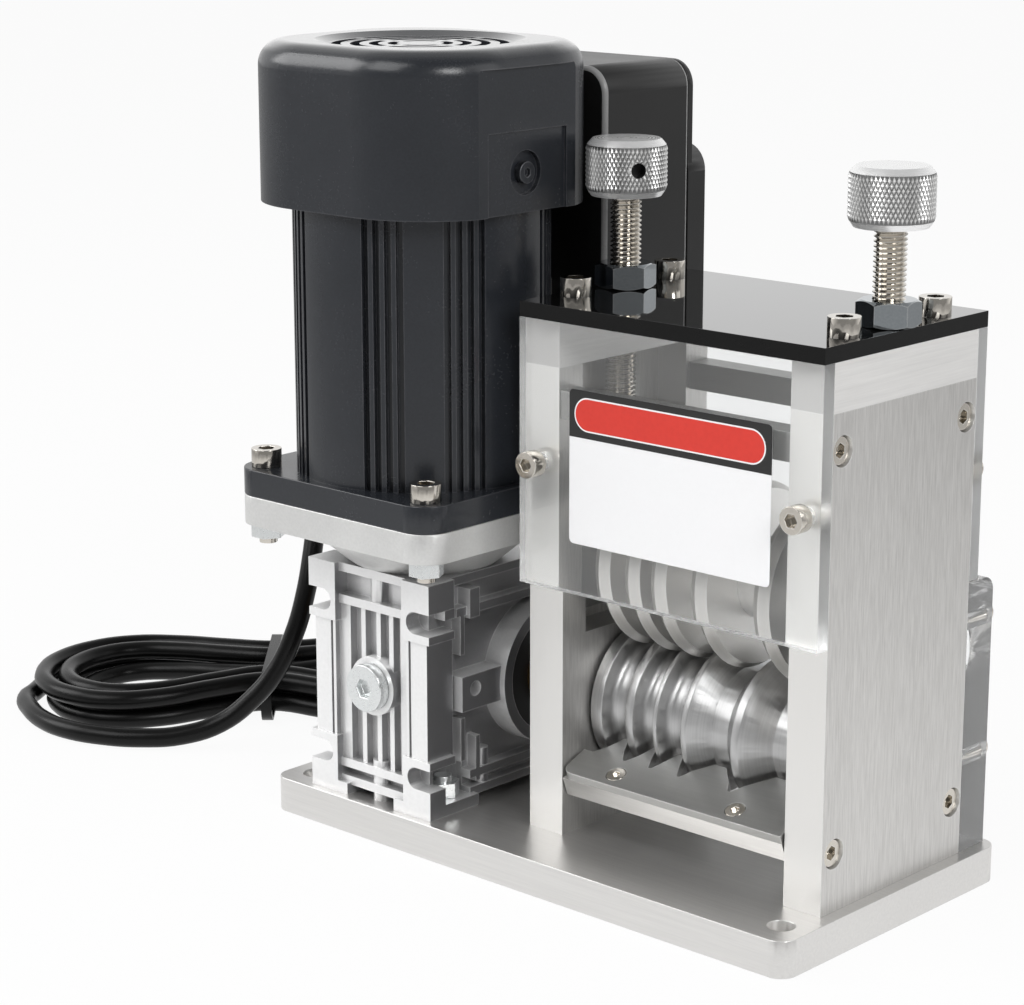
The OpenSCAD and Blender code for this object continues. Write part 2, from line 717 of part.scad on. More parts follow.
module gearbox_housing() {
    color("silver")
    difference() {
        union() {
            gearbox_frame();
            // Core
            translate([gear_left + core_inset, gear_front + core_inset, base_t + foot_gap])
                cube([gear_w - 2 * core_inset, gear_d - 2 * core_inset, gear_h - foot_gap]);
            // Panels and ribs on the front and the back, between the ledges
            for (sy = [0, 1]) translate([drive_x, gear_y, base_t + foot_gap + low_ledge]) mirror([0, sy, 0])
                translate([0, -gear_d / 2 + 3, 0]) {
                    rise = gear_h - foot_gap - low_ledge - top_ledge;
                    translate([-gear_w / 2 + lug_w - 2, 0, 0]) cube([gear_w / 2 - lug_w + 2 + recess_left, core_inset - 2, rise]);
                    translate([recess_right, 0, 0]) cube([gear_w / 2 - lug_w + 2 - recess_right, core_inset - 2, rise]);
                    for (x = front_ribs) translate([x - rib_t / 2, 0.2, 0]) cube([rib_t, core_inset - 2.2, rise]);
                }
            // Ribs on the sides
            for (sx = [0, 1], r = side_ribs) translate([drive_x, gear_front, base_t]) mirror([sx, 0, 0])
                translate([gear_w / 2 - core_inset - 1, r[0] - rib_t / 2, r[1]]) cube([core_inset - 1, rib_t, r[2] - r[1]]);
            // Bosses in the middle of the ledges
            for (z = [0, gear_h - top_ledge - ledge_t])
                translate([plug_x, gear_front + core_inset, base_t + z]) cylinder(d = 7, h = top_ledge + ledge_t);
            // Stop tab, upper lug and post on the right
            translate([gear_right - core_inset - 1, gear_front + 9, gear_top - 13.7]) cube([core_inset - 0.5, 4.7, 7]);
            translate([gear_right - core_inset - 1, gear_front + 19.8, gear_top - 15]) cube([core_inset + 0.5, 4.7, 10]);
            translate([gear_right - core_inset + 1.5, gear_front + 29.1, base_t + foot_gap]) cylinder(d = 4.6, h = 15);
            // Pad with a threaded hole beside the output ring
            translate([gear_right - core_inset - 1, gear_front + 13.9, roller_z - 5.5])
                cube([core_inset + 2.5, head_y - gear_front - 33.9, 12]);
            // Boss of the oil plug
            translate([plug_x, gear_front + 1, plug_z])
                rotate([-90, 0, 0]) cylinder(d = plug_boss_d, h = core_inset + 2);
            // Output ring on the right and seat of the cover on the left
            translate([gear_left + 2, head_y, roller_z])
                along_x() cylinder(d = output_ring_d, h = output_right - gear_left - 2);
        }
        translate([gear_right - 4, gear_front + 20.3, roller_z + 1.5]) along_x() cylinder(d = 5, h = 10);
        // Stud bores in the feet, with room for the nuts above them
        for (sx = [0, 1], sy = [0, 1])
            translate([drive_x, gear_y, base_t]) mirror([sx, 0, 0]) mirror([0, sy, 0])
                translate([stud_dx / 2, stud_dy / 2, -through]) {
                    cylinder(d = gear_stud_d + 2 * seat_gap, h = foot_t + 2 * through);
                    translate([0, 0, foot_t + through]) cylinder(r = nut_room_r, h = nut_room_h);
                    translate([0, -nut_room_r, foot_t + through]) cube([gear_w / 2, 2 * nut_room_r, nut_room_h]);
                }
        // Worm bore with bearing seats
        translate([drive_x, motor_y, base_t + 4]) cylinder(d = worm_bore_d, h = gear_h);
        translate([drive_x, motor_y, base_t + 4])
            cylinder(d = worm_bearing_d + 2 * seat_gap, h = worm_bearing_w + seat_gap);
        translate([drive_x, motor_y, gear_top - worm_bearing_w - 3])
            cylinder(d = worm_bearing_d + 2 * seat_gap, h = worm_bearing_w + 3 + through);
        // Wheel chamber, open to the left for assembly
        translate([gear_left - through, head_y, roller_z])
            along_x() cylinder(r = wheel_chamber_r, h = gear_w / 2 + wheel_chamber_w / 2 + through);
        // Bearing and seal seats on the right
        translate([drive_x, head_y, roller_z])
            along_x() cylinder(d = output_bearing_d + 2 * seat_gap, h = output_w);
        // Oil plug
        translate([plug_x, gear_front - through, plug_z])
            rotate([-90, 0, 0]) cylinder(d = plug_d - 4 + 2 * seat_gap, h = 12);
        // Cover screws
        for (a = [45 : 90 : 315])
            translate([gear_left + 1, head_y, roller_z]) rotate([a, 0, 0])
                translate([0, 0, cover_screw_r]) along_x() cylinder(d = 4 + 2 * seat_gap, h = 14);
    }
}

// Cover on the left that closes the wheel chamber and carries one bearing
cover_screw_r = 28.5;
cover_flange_d = 66;
module gearbox_cover() {
    color("silver")
    difference() {
        union() {
            translate([output_left, head_y, roller_z]) along_x() cylinder(d = output_ring_d, h = output_w / 2 - gear_w / 2 + 2 - seat_gap);
            translate([gear_left - cover_plate_t + 4, head_y, roller_z])
                along_x() cylinder(d = cover_flange_d, h = cover_plate_t - 2 - seat_gap);
            translate([gear_left, head_y, roller_z])
                along_x() cylinder(r = wheel_chamber_r - seat_gap, h = 11);
        }
        translate([output_left - through, head_y, roller_z])
            along_x() cylinder(d = output_bearing_d + 2 * seat_gap, h = output_w);
        for (a = [45 : 90 : 315])
            translate([output_left - through, head_y, roller_z]) rotate([a, 0, 0])
                translate([0, 0, cover_screw_r]) along_x() cylinder(d = 4 + 2 * slide_gap, h = output_w / 4);
    }
}

module gearbox_cover_screws() {
    color("gray")
    for (a = [45 : 90 : 315])
        translate([gear_left - cover_plate_t + 4, head_y, roller_z]) rotate([a, 0, 0])
            translate([0, 0, cover_screw_r]) rotate([0, -90, 0]) socket_screw([4, 7, 4, 3], 12);
}

module oil_plug() {
    color("gainsboro")
    translate([plug_x, gear_front + 1, plug_z]) rotate([90, 0, 0]) difference() {
        union() {
            cylinder(d = plug_d, h = 4);
            translate([0, 0, -9]) cylinder(d = plug_d - 4, h = 9 + hair);
        }
        translate([0, 0, 1.5]) cylinder(d = 6 * 2 / sqrt(3), h = 4, $fn = 6);
    }
}

// Where the output bearings and seals sit along the hub
bearing_inset = 7;
seal_inset = 1;
seal_w = 5;
module at_output(inset, width) {
    translate([output_left + inset, head_y, roller_z]) along_x() children();
    translate([output_right - inset - width, head_y, roller_z]) along_x() children();
}

module output_bearings() {
    color("gainsboro")
    at_output(bearing_inset, output_bearing_w)
        ring(output_bearing_d, hub_d + 2 * run_gap, output_bearing_w);
}

module output_seals() {
    color("black")
    at_output(seal_inset, seal_w) ring(output_bearing_d, hub_d + 2 * run_gap, seal_w);
}

// Bearings of the worm in the gearbox and of the rotor in the motor
module shaft_bearings() {
    color("gainsboro") {
        for (z = [base_t + 4, gear_top - worm_bearing_w - 3])
            translate([drive_x, motor_y, z]) ring(worm_bearing_d, worm_journal_d + 2 * run_gap, worm_bearing_w);
        for (z = [motor_flange_z + 0.5, motor_top - shield_t + 0.5])
            translate([drive_x, motor_y, z]) ring(motor_bearing_d, motor_shaft_d + 2 * run_gap, motor_bearing_w);
    }
}

// Studs and nuts that hold the gearbox on the base
module gearbox_studs() {
    color("gray")
    translate([drive_x, gear_y, 0]) at_corners(stud_dx, stud_dy) {
        translate([0, 0, base_t / 2 + 0.5]) cylinder(d = gear_stud_d, h = base_t / 2 + foot_t + 6.5);
        translate([0, 0, base_t + foot_t]) hex_nut(nut_m6_w, nut_m6_h, gear_stud_d);
    }
}

// Cast flange between the gearbox and the motor
flange_bore_d = 30;
module input_flange() {
    color("lightgray")
    translate([drive_x, motor_y, 0]) difference() {
        union() {
            translate([0, 0, input_flange_z]) linear_extrude(input_flange_t) round_rect(flange_w, flange_w, flange_r);
            translate([0, 0, gear_top]) cylinder(d1 = 50, d2 = 80, h = neck_h + hair);
        }
        translate([0, 0, gear_top - through]) cylinder(d = flange_bore_d, h = neck_h + input_flange_t + 2 * through);
        translate([0, 0, input_flange_z]) at_corners(bolt_pitch, bolt_pitch)
            translate([0, 0, -through]) cylinder(d = m6[0] + 2 * slide_gap, h = input_flange_t + 2 * through);
    }
}

// Dark motor flange with the seat of the lower motor bearing
motor_bearing_d = 30;
motor_bearing_w = 8;
motor_shaft_d = 11;
module motor_flange() {
    color("darkslategray")
    translate([drive_x, motor_y, motor_flange_z]) difference() {
        linear_extrude(motor_flange_t) round_rect(flange_w, flange_w, flange_r);
        translate([0, 0, -through]) cylinder(d = motor_bearing_d + 2 * seat_gap, h = motor_flange_t + 2 * through);
        at_corners(bolt_pitch, bolt_pitch)
            translate([0, 0, -through]) cylinder(d = m6[0] + 2 * slide_gap, h = motor_flange_t + 2 * through);
    }
}

module flange_bolts() {
    color("tan")
    translate([drive_x, motor_y, motor_z]) at_corners(bolt_pitch, bolt_pitch)
        socket_screw(m6, motor_flange_t + input_flange_t + 7);
}

module flange_nuts() {
    color("lightgray")
    translate([drive_x, motor_y, input_flange_z - nut_m6_h]) at_corners(bolt_pitch, bolt_pitch) hex_nut(nut_m6_w, nut_m6_h, m6[0]);
}

// Motor body: a tube with eight groups of ribs, closed at the top by the fan-side shield
// Directions of the fan cover's screws
cover_screw_turns = [0, 180];
ribs_in_group = 4;
rib_angle = 27;
rib_step = 5.2;
rib_groove_w = 2.2;
shield_t = 9;
module motor_body() {
    color("darkslategray")
    translate([drive_x, motor_y, motor_z]) difference() {
        cylinder(r = motor_r, h = motor_h);
        translate([0, 0, -through]) cylinder(r = motor_r - motor_wall - rib_depth, h = motor_h - shield_t + through);
        translate([0, 0, motor_h - shield_t - through])
            cylinder(d = motor_bearing_d + 2 * seat_gap, h = shield_t + 2 * through);
        for (q = [0 : 90 : 270], s = [-1, 1], i = [0 : ribs_in_group - 1])
            rotate([0, 0, q + s * (rib_angle - (ribs_in_group - 1) * rib_step / 2 + i * rib_step)])
                translate([motor_r - rib_depth, -rib_groove_w / 2, -through])
                    cube([rib_depth + through, rib_groove_w, motor_h - shield_t - 2]);
        for (q = cover_screw_turns)
            rotate([0, 0, q]) translate([motor_r - 7, 0, motor_h - shield_t / 2])
                along_x() cylinder(d = 4 + 2 * seat_gap, h = 10);
    }
}

stator_gap = 0.3;
rotor_r = 22;
stator_h = 50;
stator_z = motor_z + 18;
module stator() {
    color("peru")
    translate([drive_x, motor_y, stator_z])
        ring(2 * (motor_r - motor_wall - rib_depth), 2 * (rotor_r + stator_gap), stator_h);
}

// Fan cover: round corners, four flats, a rounded top edge and ring-shaped air slots
slot_w = 3;
slot_rings = [9, 15, 21, 27];
slot_bridges = 4;
grille_r = 33;
grille_sink = 1.5;
cover_boss_z = fan_cover_lap - shield_t / 2;
// Flat panel on each side of the cover, its deeper lower half, and the recess of a screw
panel_cut = 1.9;
panel_step = 1;
panel_top = fan_cover_h - 6;
panel_step_z = fan_cover_h / 2;
cover_recess_d = 14;
cover_floor = 1.6;
cover_floor_x = motor_r + slide_gap;

// Side view of a cover with a rounded top edge, half of it
module cover_half(half_w, h, r) {
    square([half_w, h - r]);
    square([half_w - r, h]);
    translate([half_w - r, h - r]) circle(r);
}

module cover_slab(w, length, h, r) {
    rotate([90, 0, 90]) linear_extrude(length, center = true) {
        cover_half(w / 2, h, r);
        mirror([1, 0, 0]) cover_half(w / 2, h, r);
    }
}

// A box l by w with corner radius c and a rounded top edge
module cover_shape(l, w, h, c, r) {
    cover_slab(w, l - 2 * c, h, r);
    rotate([0, 0, 90]) cover_slab(l, w - 2 * c, h, r);
    for (sx = [-1, 1], sy = [-1, 1])
        translate([sx * (l / 2 - c), sy * (w / 2 - c), 0]) rotate_extrude() cover_half(c, h, r);
}

module fan_cover() {
    color("darkslategray")
    translate([drive_x, motor_y, fan_cover_z]) difference() {
        union() {
            difference() {
                cover_shape(fan_cover_l, fan_cover_w, fan_cover_h, fan_cover_corner, fan_cover_r);
                translate([0, 0, -through])
                    cover_shape(fan_cover_l - 2 * (fan_cover_wall + panel_cut + panel_step), fan_cover_w - 2 * fan_cover_wall,
                        fan_cover_h - 2 * fan_cover_wall + through, fan_cover_corner - 4, fan_cover_r - fan_cover_wall);
                for (sx = [0, 1]) mirror([sx, 0, 0]) {
                    translate([fan_cover_l / 2 - panel_cut, -fan_cover_w / 2, -through])
                        cube([fan_cover_r, fan_cover_w, panel_top + through]);
                    translate([fan_cover_l / 2 - panel_cut - panel_step, -fan_cover_w / 5, -through])
                        cube([fan_cover_r, fan_cover_w * 2 / 5, panel_step_z + through]);
                }
            }
            for (q = cover_screw_turns)
                rotate([0, 0, q]) translate([cover_floor_x, 0, cover_boss_z])
                    along_x() cylinder(d = cover_recess_d + 4, h = cover_floor + 0.4);
        }
        translate([0, 0, fan_cover_h - grille_sink])
            cylinder(r1 = grille_r - 3, r2 = grille_r + 1, h = grille_sink + hair);
        for (r = slot_rings)
            difference() {
                translate([0, 0, fan_cover_h - 3 * fan_cover_wall]) ring(2 * r + slot_w, 2 * r - slot_w, 3 * fan_cover_wall);
                for (q = [0 : 360 / slot_bridges : 359])
                    rotate([0, 0, q]) translate([0, -1.5, fan_cover_h - 4 * fan_cover_wall]) cube([grille_r, 3, 5 * fan_cover_wall]);
            }
        for (q = cover_screw_turns)
            rotate([0, 0, q]) translate([cover_floor_x - through, 0, cover_boss_z]) {
                along_x() cylinder(d = 4 + 2 * slide_gap, h = 3 * fan_cover_wall);
                translate([cover_floor + through, 0, 0]) along_x() cylinder(d = cover_recess_d, h = 3 * fan_cover_r);
            }
    }
}

// Control box behind the motor, open at the back, with a saddle that seats on the motor body
box_top = fan_cover_top - box_drop;
box_z = box_top - box_h;
box_front = motor_y + fan_cover_w / 2 + 1;
box_back = box_front + box_d;
saddle_w = 30;
saddle_h = 40;
saddle_z = box_z + 12;
gland_x = drive_x - box_w / 2;
gland_y = box_front + 20;
gland_z = box_z + 12;
gland_d = 16;
box_screw_x = box_w / 2 - 7;

module box_outline(inset, r) {
    translate([drive_x, box_z + box_h / 2]) round_rect(box_w - 2 * inset, box_h - 2 * inset, r);
}

module control_box() {
    color("black")
    difference() {
        union() {
            translate([0, box_back, 0]) rotate([90, 0, 0]) linear_extrude(box_d) box_outline(0, box_r);
            translate([drive_x - saddle_w / 2, motor_y, saddle_z]) cube([saddle_w, box_front - motor_y + through, saddle_h]);
            for (s = [-1, 1])
                translate([drive_x + s * box_screw_x, box_back, box_z + lid_h / 2])
                    rotate([90, 0, 0]) cylinder(d = 8, h = 12);
        }
        difference() {
            translate([0, box_back + through, 0]) rotate([90, 0, 0])
                linear_extrude(box_d - box_wall + through) box_outline(box_wall, box_r - box_wall);
            for (s = [-1, 1])
                translate([drive_x + s * box_screw_x, box_back, box_z + lid_h / 2])
                    rotate([90, 0, 0]) cylinder(d = 8, h = box_d);
        }
        translate([drive_x, motor_y, box_z - 1]) cylinder(r = motor_r + seat_gap, h = box_h + 2);
        translate([gland_x - through, gland_y, gland_z])
            along_x() cylinder(d = gland_d - 4 + 2 * seat_gap, h = box_wall + 2 * through);
        for (s = [-1, 1])
            translate([drive_x + s * box_screw_x, box_back + through, box_z + lid_h / 2])
                rotate([90, 0, 0]) cylinder(d = 4 + 2 * seat_gap, h = 11);
    }
}

// Lid on the back of the box, shallower and lower than the box, with the switch in it
lid_wall = 2.5;
switch_z = box_z + lid_h * 0.72;
module lid_outline(inset) {
    translate([drive_x, box_z + lid_h / 2]) round_rect(box_w - 2 * inset, lid_h - 2 * inset, box_r - inset);
}

module control_box_lid() {
    color("black")
    difference() {
        union() {
            translate([0, box_back + lid_d, 0]) rotate([90, 0, 0]) linear_extrude(lid_d) lid_outline(0);
            // Thin sheet that closes the box above the raised part
            translate([0, box_back + lid_wall, 0]) rotate([90, 0, 0]) linear_extrude(lid_wall) box_outline(0.5, box_r - 0.5);
        }
        translate([drive_x - switch_w / 2 - slide_gap, box_back - through, switch_z - switch_h / 2 - slide_gap])
            cube([switch_w + 2 * slide_gap, lid_d + 2 * through, switch_h + 2 * slide_gap]);
        for (s = [-1, 1])
            translate([drive_x + s * box_screw_x, box_back - through, box_z + lid_h / 2])
                rotate([-90, 0, 0]) cylinder(d = 4 + 2 * slide_gap, h = lid_d + 2 * through);
    }
}

// Screws of the fan cover and of the control box lid
m4 = [4, 7, 2.5, 2.5];
module cover_screws() {
    color("black") {
        translate([drive_x, motor_y, fan_cover_z + cover_boss_z])
            for (q = cover_screw_turns)
                rotate([0, 0, q]) translate([cover_floor_x + cover_floor, 0, 0]) rotate([0, 90, 0]) socket_screw(m4, 8);
        for (s = [-1, 1])
            translate([drive_x + s * box_screw_x, box_back + lid_d, box_z + lid_h / 2])
                rotate([-90, 0, 0]) socket_screw(m4, lid_d + 8);
    }
}

capacitor_d = 30;
capacitor_h = 55;
module run_capacitor() {
    color("lightgray")
    translate([drive_x + 12, box_front + box_wall + capacitor_d / 2 + seat_gap, box_z + box_wall])
        cylinder(d = capacitor_d, h = capacitor_h);
}

// Rocker switch: a frame in the lid and a rocker that tips about a pin along X
frame_lip = 2;
frame_wall = 2;
rocker_tip = 10;
rocker_r = 14;
rocker_w = switch_w - 2 * frame_wall - 2 * slide_gap;
rocker_half = switch_h / 2 - frame_wall - 1.2;
switch_y = box_back + lid_d;
pin_d = 3;
pin_y = switch_y - 2;
module switch_frame() {
    color("black")
    difference() {
        union() {
            translate([drive_x - switch_w / 2, switch_y - lid_d, switch_z - switch_h / 2]) cube([switch_w, lid_d, switch_h]);
            translate([drive_x - switch_w / 2 - frame_lip, switch_y, switch_z - switch_h / 2 - frame_lip])
                cube([switch_w + 2 * frame_lip, 1.5, switch_h + 2 * frame_lip]);
        }
        translate([drive_x - switch_w / 2 + frame_wall, switch_y - lid_d + 1.5, switch_z - switch_h / 2 + frame_wall])
            cube([switch_w - 2 * frame_wall, lid_d + 5, switch_h - 2 * frame_wall]);
        translate([drive_x - switch_w / 2 + 0.5, pin_y, switch_z]) along_x() cylinder(d = pin_d + 2 * run_gap, h = switch_w - 1);
    }
}

module switch_rocker() {
    color("firebrick")
    translate([drive_x, pin_y, switch_z]) rotate([-rocker_tip, 0, 0]) difference() {
        union() {
            translate([-rocker_w / 2, 0, 0]) intersection() {
                translate([0, -3, -rocker_half]) cube([rocker_w, 9.5, 2 * rocker_half]);
                along_x() cylinder(r = rocker_half, h = rocker_w);
            }
            translate([-switch_w / 2 + 0.8, 0, 0]) along_x() cylinder(d = pin_d, h = switch_w - 1.6);
        }
        // Shallow dish that the finger presses
        translate([-rocker_w, 5 + 30, 0]) along_x() cylinder(r = 30, h = 2 * rocker_w);
    }
}

// Cord: gland in the side of the box, free lead, tied hank, tail and plug
gland_l = 24;
module cord_gland() {
    color("black")
    translate([gland_x, gland_y, gland_z]) along_x() difference() {
        union() {
            translate([0, 0, -6]) cylinder(d = gland_d, h = 6);
            translate([0, 0, -gland_l]) cylinder(d1 = cord_d + 2.4, d2 = gland_d - 2, h = gland_l - 6 + hair);
            translate([0, 0, -hair]) cylinder(d = gland_d - 4, h = box_wall + 3);
        }
        translate([0, 0, -gland_l - through]) cylinder(d = cord_d - 3, h = gland_l + box_wall + 6);
    }
}

hank_place = [-198, 24];
hank_turn = 43;
hank_turns = 4.34;
hank_reverse = 2.25;
hank_rings = 24;
hank_pinch = 17;
hank_pinch_l = 30;
hank_fold = 0.29;
hank_lift = 2;
cord_r = cord_d / 2;
hank_along = [cos(hank_turn), sin(hank_turn), 0];
hank_across = [sin(hank_turn), -cos(hank_turn), 0];
function ease(x) = let (c = min(1, max(0, x))) c * c * (3 - 2 * c);
function hank_wind(t) = -hank_step * (t < hank_reverse ? t : 2 * hank_reverse - t);
function hank_squeeze(a) = exp(-pow(a / hank_pinch_l, 2));
// Turn of a fold and place of its middle along the hank, after a part f of one turn
hank_run = hank_half_l - hank_half_w;
function hank_phi(f) =
    f < hank_fold / 2 ? 180 + 180 * f / hank_fold
    : f < 0.5 - hank_fold / 2 ? 270
    : f < 0.5 + hank_fold / 2 ? 360 + 180 * (f - 0.5) / hank_fold
    : f < 1 - hank_fold / 2 ? 90
    : 180 + 180 * (f - 1) / hank_fold;
function hank_mid(f) =
    f < hank_fold / 2 || f > 1 - hank_fold / 2 ? -hank_run
    : f < 0.5 - hank_fold / 2 ? -hank_run + 2 * hank_run * (f - hank_fold / 2) / (0.5 - hank_fold)
    : f < 0.5 + hank_fold / 2 ? hank_run
    : hank_run - 2 * hank_run * (f - 0.5 - hank_fold / 2) / (0.5 - hank_fold);
// Point of the hank after t turns, counted from its left end
function hank_point(t) =
    let (
        f = t - floor(t),
        phi = hank_phi(f),
        r = hank_half_w + hank_wind(t),
        a = hank_mid(f) + r * cos(phi),
        b = sin(phi) * (r - hank_pinch * hank_squeeze(a)),
        z = cord_r + hank_rise * ease((t - hank_reverse + 0.25) * 2) + hank_lift * hank_squeeze(a)
    )
    [hank_place[0], hank_place[1], z] + a * hank_along + b * hank_across;
hank_n = floor(hank_turns * hank_rings);
hank_path = [for (i = [0 : hank_n]) hank_point(i / hank_rings)];

// The least gap between strands that lie more than a third of a turn apart
hank_gap = min([for (i = [0 : hank_n - 9], j = [i + 9 : hank_n]) norm(hank_path[i] - hank_path[j])]) - cord_d;
echo(least_gap_of_the_hank_to_itself = hank_gap);

lead_route = [
    [-146, 39, 138], [-155, 34, 131], [-160, 28, 118], [-161, 21, 102], [-159, 13, 86], [-155, 6, 71],
    [-153, 0, 56], [-154, -5, 42], [-158, -10, 29], [-164, -17, 18], [-172, -26, 9], [-181, -37, 5],
    [-192, -47, 4], [-205, -55, 4], [-220, -59, 4], [-235, -58, 4], [-249, -53, 4]
];
tail_route = [[-176, 102, 11], [-169, 116, 9], [-168, 131, 6], [-175, 144, 6]];
function unit(v) = v / norm(v);
hank_start = hank_path[0];
hank_end = hank_path[hank_n];
start_way = unit(hank_path[1] - hank_path[0]);
end_way = unit(hank_path[hank_n] - hank_path[hank_n - 1]);
gland_end = [gland_x - gland_l, gland_y, gland_z];
plug_place = [-198, 158, 8.7];
plug_turn = 145;
plug_way = [cos(plug_turn), sin(plug_turn), 0];
lead_path = concat(
    [gland_end + [4, 0, 0], gland_end, gland_end - [cord_d, 0, 0]], lead_route,
    [hank_start - start_way * cord_d, hank_start]
);
tail_path = concat(
    [hank_end, hank_end + end_way * cord_d], tail_route,
    [plug_place - cord_d * plug_way, plug_place]
);

// Direction of a path at one of its points
function way(path, i) = unit(path[min(i + 1, len(path) - 1)] - path[max(i - 1, 0)]);
// Ring of a tube round a point of its path
function tube_ring(path, i, r, sides, up) =
    let (t = way(path, i), u = unit(cross(up, t)), v = cross(t, u))
    [for (k = [0 : sides - 1]) path[i] + r * (cos(360 * k / sides) * u + sin(360 * k / sides) * v)];

// A closed tube of triangles along a path
module tube(path, r, sides, up) {
    n = len(path);
    last = (n - 1) * sides;
    points = [for (i = [0 : n - 1]) each tube_ring(path, i, r, sides, up)];
    side_faces = [for (i = [0 : n - 2], k = [0 : sides - 1])
        let (a = i * sides + k, b = i * sides + (k + 1) % sides)
        each [[a, a + sides, b], [b, a + sides, b + sides]]];
    start_faces = [for (k = [1 : sides - 2]) [0, k, k + 1]];
    end_faces = [for (k = [1 : sides - 2]) [last, last + k + 1, last + k]];
    polyhedron(concat(side_faces == [] ? [] : points), concat(side_faces, start_faces, end_faces));
}

module power_cord() {
    color("black") {
        tube(lead_path, cord_r, 10, [0.3, 0.2, 1]);
        tube(tail_path, cord_r, 10, [0, 0, 1]);
    }
}

module cord_hank() {
    color("black") tube(hank_path, cord_r, 6, [0, 0, 1]);
}

// Band round the waist of the hank
tie_w = 4;
tie_t = 1.2;
tie_side = hank_half_w - hank_pinch + cord_r + 3;
tie_height = hank_lift + hank_rise + cord_d + 0.6;
module cord_tie() {
    color("dimgray")
    translate([hank_place[0], hank_place[1], 0.3 + (tie_height + tie_t) / 2]) rotate([0, 0, hank_turn])
        rotate([90, 0, 90]) linear_extrude(tie_w, center = true) difference() {
            round_rect(2 * (tie_side + tie_t), tie_height + tie_t, (tie_height + tie_t) / 2 - hair);
            round_rect(2 * tie_side, tie_height - tie_t, (tie_height - tie_t) / 2 - hair);
        }
}

// Plug with two round pins, lying on its side
plug_body_l = 34;
plug_body_w = 26;
plug_body_h = 17;
plug_pin_d = 4.8;
plug_pin_l = 19;
plug_pin_pitch = 19;
module plug() {
    color("black")
    translate(plug_place) rotate([0, 0, plug_turn]) {
        translate([0, 0, 0]) along_x() cylinder(d1 = cord_d + 3, d2 = 15, h = 14);
        translate([13, -plug_body_w / 2, -plug_body_h / 2]) cube([plug_body_l - 13, plug_body_w, plug_body_h]);
        for (s = [-1, 1])
            translate([plug_body_l - 8, s * plug_pin_pitch / 2, 0]) along_x() cylinder(d = plug_pin_d, h = plug_pin_l + 8);
    }
}

// Drive shaft, feed roller and worm wheel turn together
drive_left = output_left + 2;
drive_right = inner_right + roller_bearing_w;
module drive_shaft() {
    color("silver")
    translate([drive_left, head_y, roller_z]) along_x() cylinder(d = drive_d, h = drive_right - drive_left);
}

// Points of one groove, from left to right along the roller
function groove_points(g) =
    g[1] > wide_groove
    ? [[g[0] - g[1], roller_r], [g[0] - g[3], roller_r - g[2]], [g[0] + g[3], roller_r - g[2]], [g[0] + g[1], roller_r]]
    : concat(
        [[g[0] - g[1], roller_r]],
        [for (a = [180 : 30 : 360]) [
            g[0] + (g[1] - groove_wall) * cos(a),
            roller_r - groove_wall_h + (g[2] - groove_wall_h) * sin(a)
        ]],
        [[g[0] + g[1], roller_r]]
    );

module feed_roller() {
    color("silver")
    translate([roller_left, head_y, roller_z]) along_x() rotate_extrude() mirror([1, 0, 0]) rotate([0, 0, 90])
        polygon(concat(
            [[0, drive_d / 2 + seat_gap], [0, roller_r - 0.6], [0.6, roller_r]],
            [for (g = grooves) each groove_points(g)],
            [[roller_l - 0.6, roller_r], [roller_l, roller_r - 0.6], [roller_l, drive_d / 2 + seat_gap]]
        ));
}

// Worm wheel with its hollow hub, and the worm that drives it
wheel_teeth = 30;
wheel_module = 1.4;
wheel_w = 12;
worm_pitch = PI * wheel_module;
wheel_pitch_r = wheel_teeth * wheel_module / 2;
worm_pitch_r = centre_gap - wheel_pitch_r;
tooth_add = 0.9;
tooth_ded = 1.5;
mesh_gap = 0.35;
lead_angle = atan(worm_pitch / (2 * PI * worm_pitch_r));
module worm_wheel() {
    color("goldenrod") {
        translate([drive_x, head_y, roller_z]) difference() {
            union() {
                translate([-wheel_w / 2, 0, 0]) along_x() cylinder(r = wheel_pitch_r - tooth_ded, h = wheel_w);
                translate([-output_w / 2, 0, 0]) along_x() cylinder(d = hub_d, h = output_w);
                for (i = [0 : wheel_teeth - 1])
                    rotate([i * 360 / wheel_teeth, 0, 0])
                        translate([0, -wheel_pitch_r + tooth_ded + 0.4, 0]) rotate([90, 0, 0])
                            rotate([0, 0, -lead_angle]) wheel_tooth();
            }
            translate([-output_w, 0, 0]) along_x() cylinder(d = drive_d + 2 * seat_gap, h = 2 * output_w);
        }
    }
}

// One tooth that points along +Z, thick along Y
module wheel_tooth() {
    tooth_h = tooth_ded + tooth_add + 0.4;
    half_root = worm_pitch / 4 + 0.25 - mesh_gap / 2;
    half_tip = worm_pitch / 4 - 0.45 - mesh_gap / 2;
    rotate([90, 0, 90]) linear_extrude(wheel_w - 0.6, center = true)
        polygon([[-half_root, 0], [half_root, 0], [half_tip, tooth_h], [-half_tip, tooth_h]]);
}

// Screw thread of the worm: one tooth section swept along a helix
worm_turns = 7;
worm_steps = 24;
worm_l = worm_turns * worm_pitch;
worm_core_r = worm_pitch_r - tooth_ded;
function worm_section(phi, z) =
    let (
        half_root = worm_pitch / 4 + 0.25 - mesh_gap / 2,
        half_tip = worm_pitch / 4 - 0.45 - mesh_gap / 2,
        r0 = worm_core_r - 0.4,
        r1 = worm_pitch_r + tooth_add,
        way_out = [cos(phi), sin(phi), 0]
    )
    [r0 * way_out + [0, 0, z - half_root], r1 * way_out + [0, 0, z - half_tip],
     r1 * way_out + [0, 0, z + half_tip], r0 * way_out + [0, 0, z + half_root]];

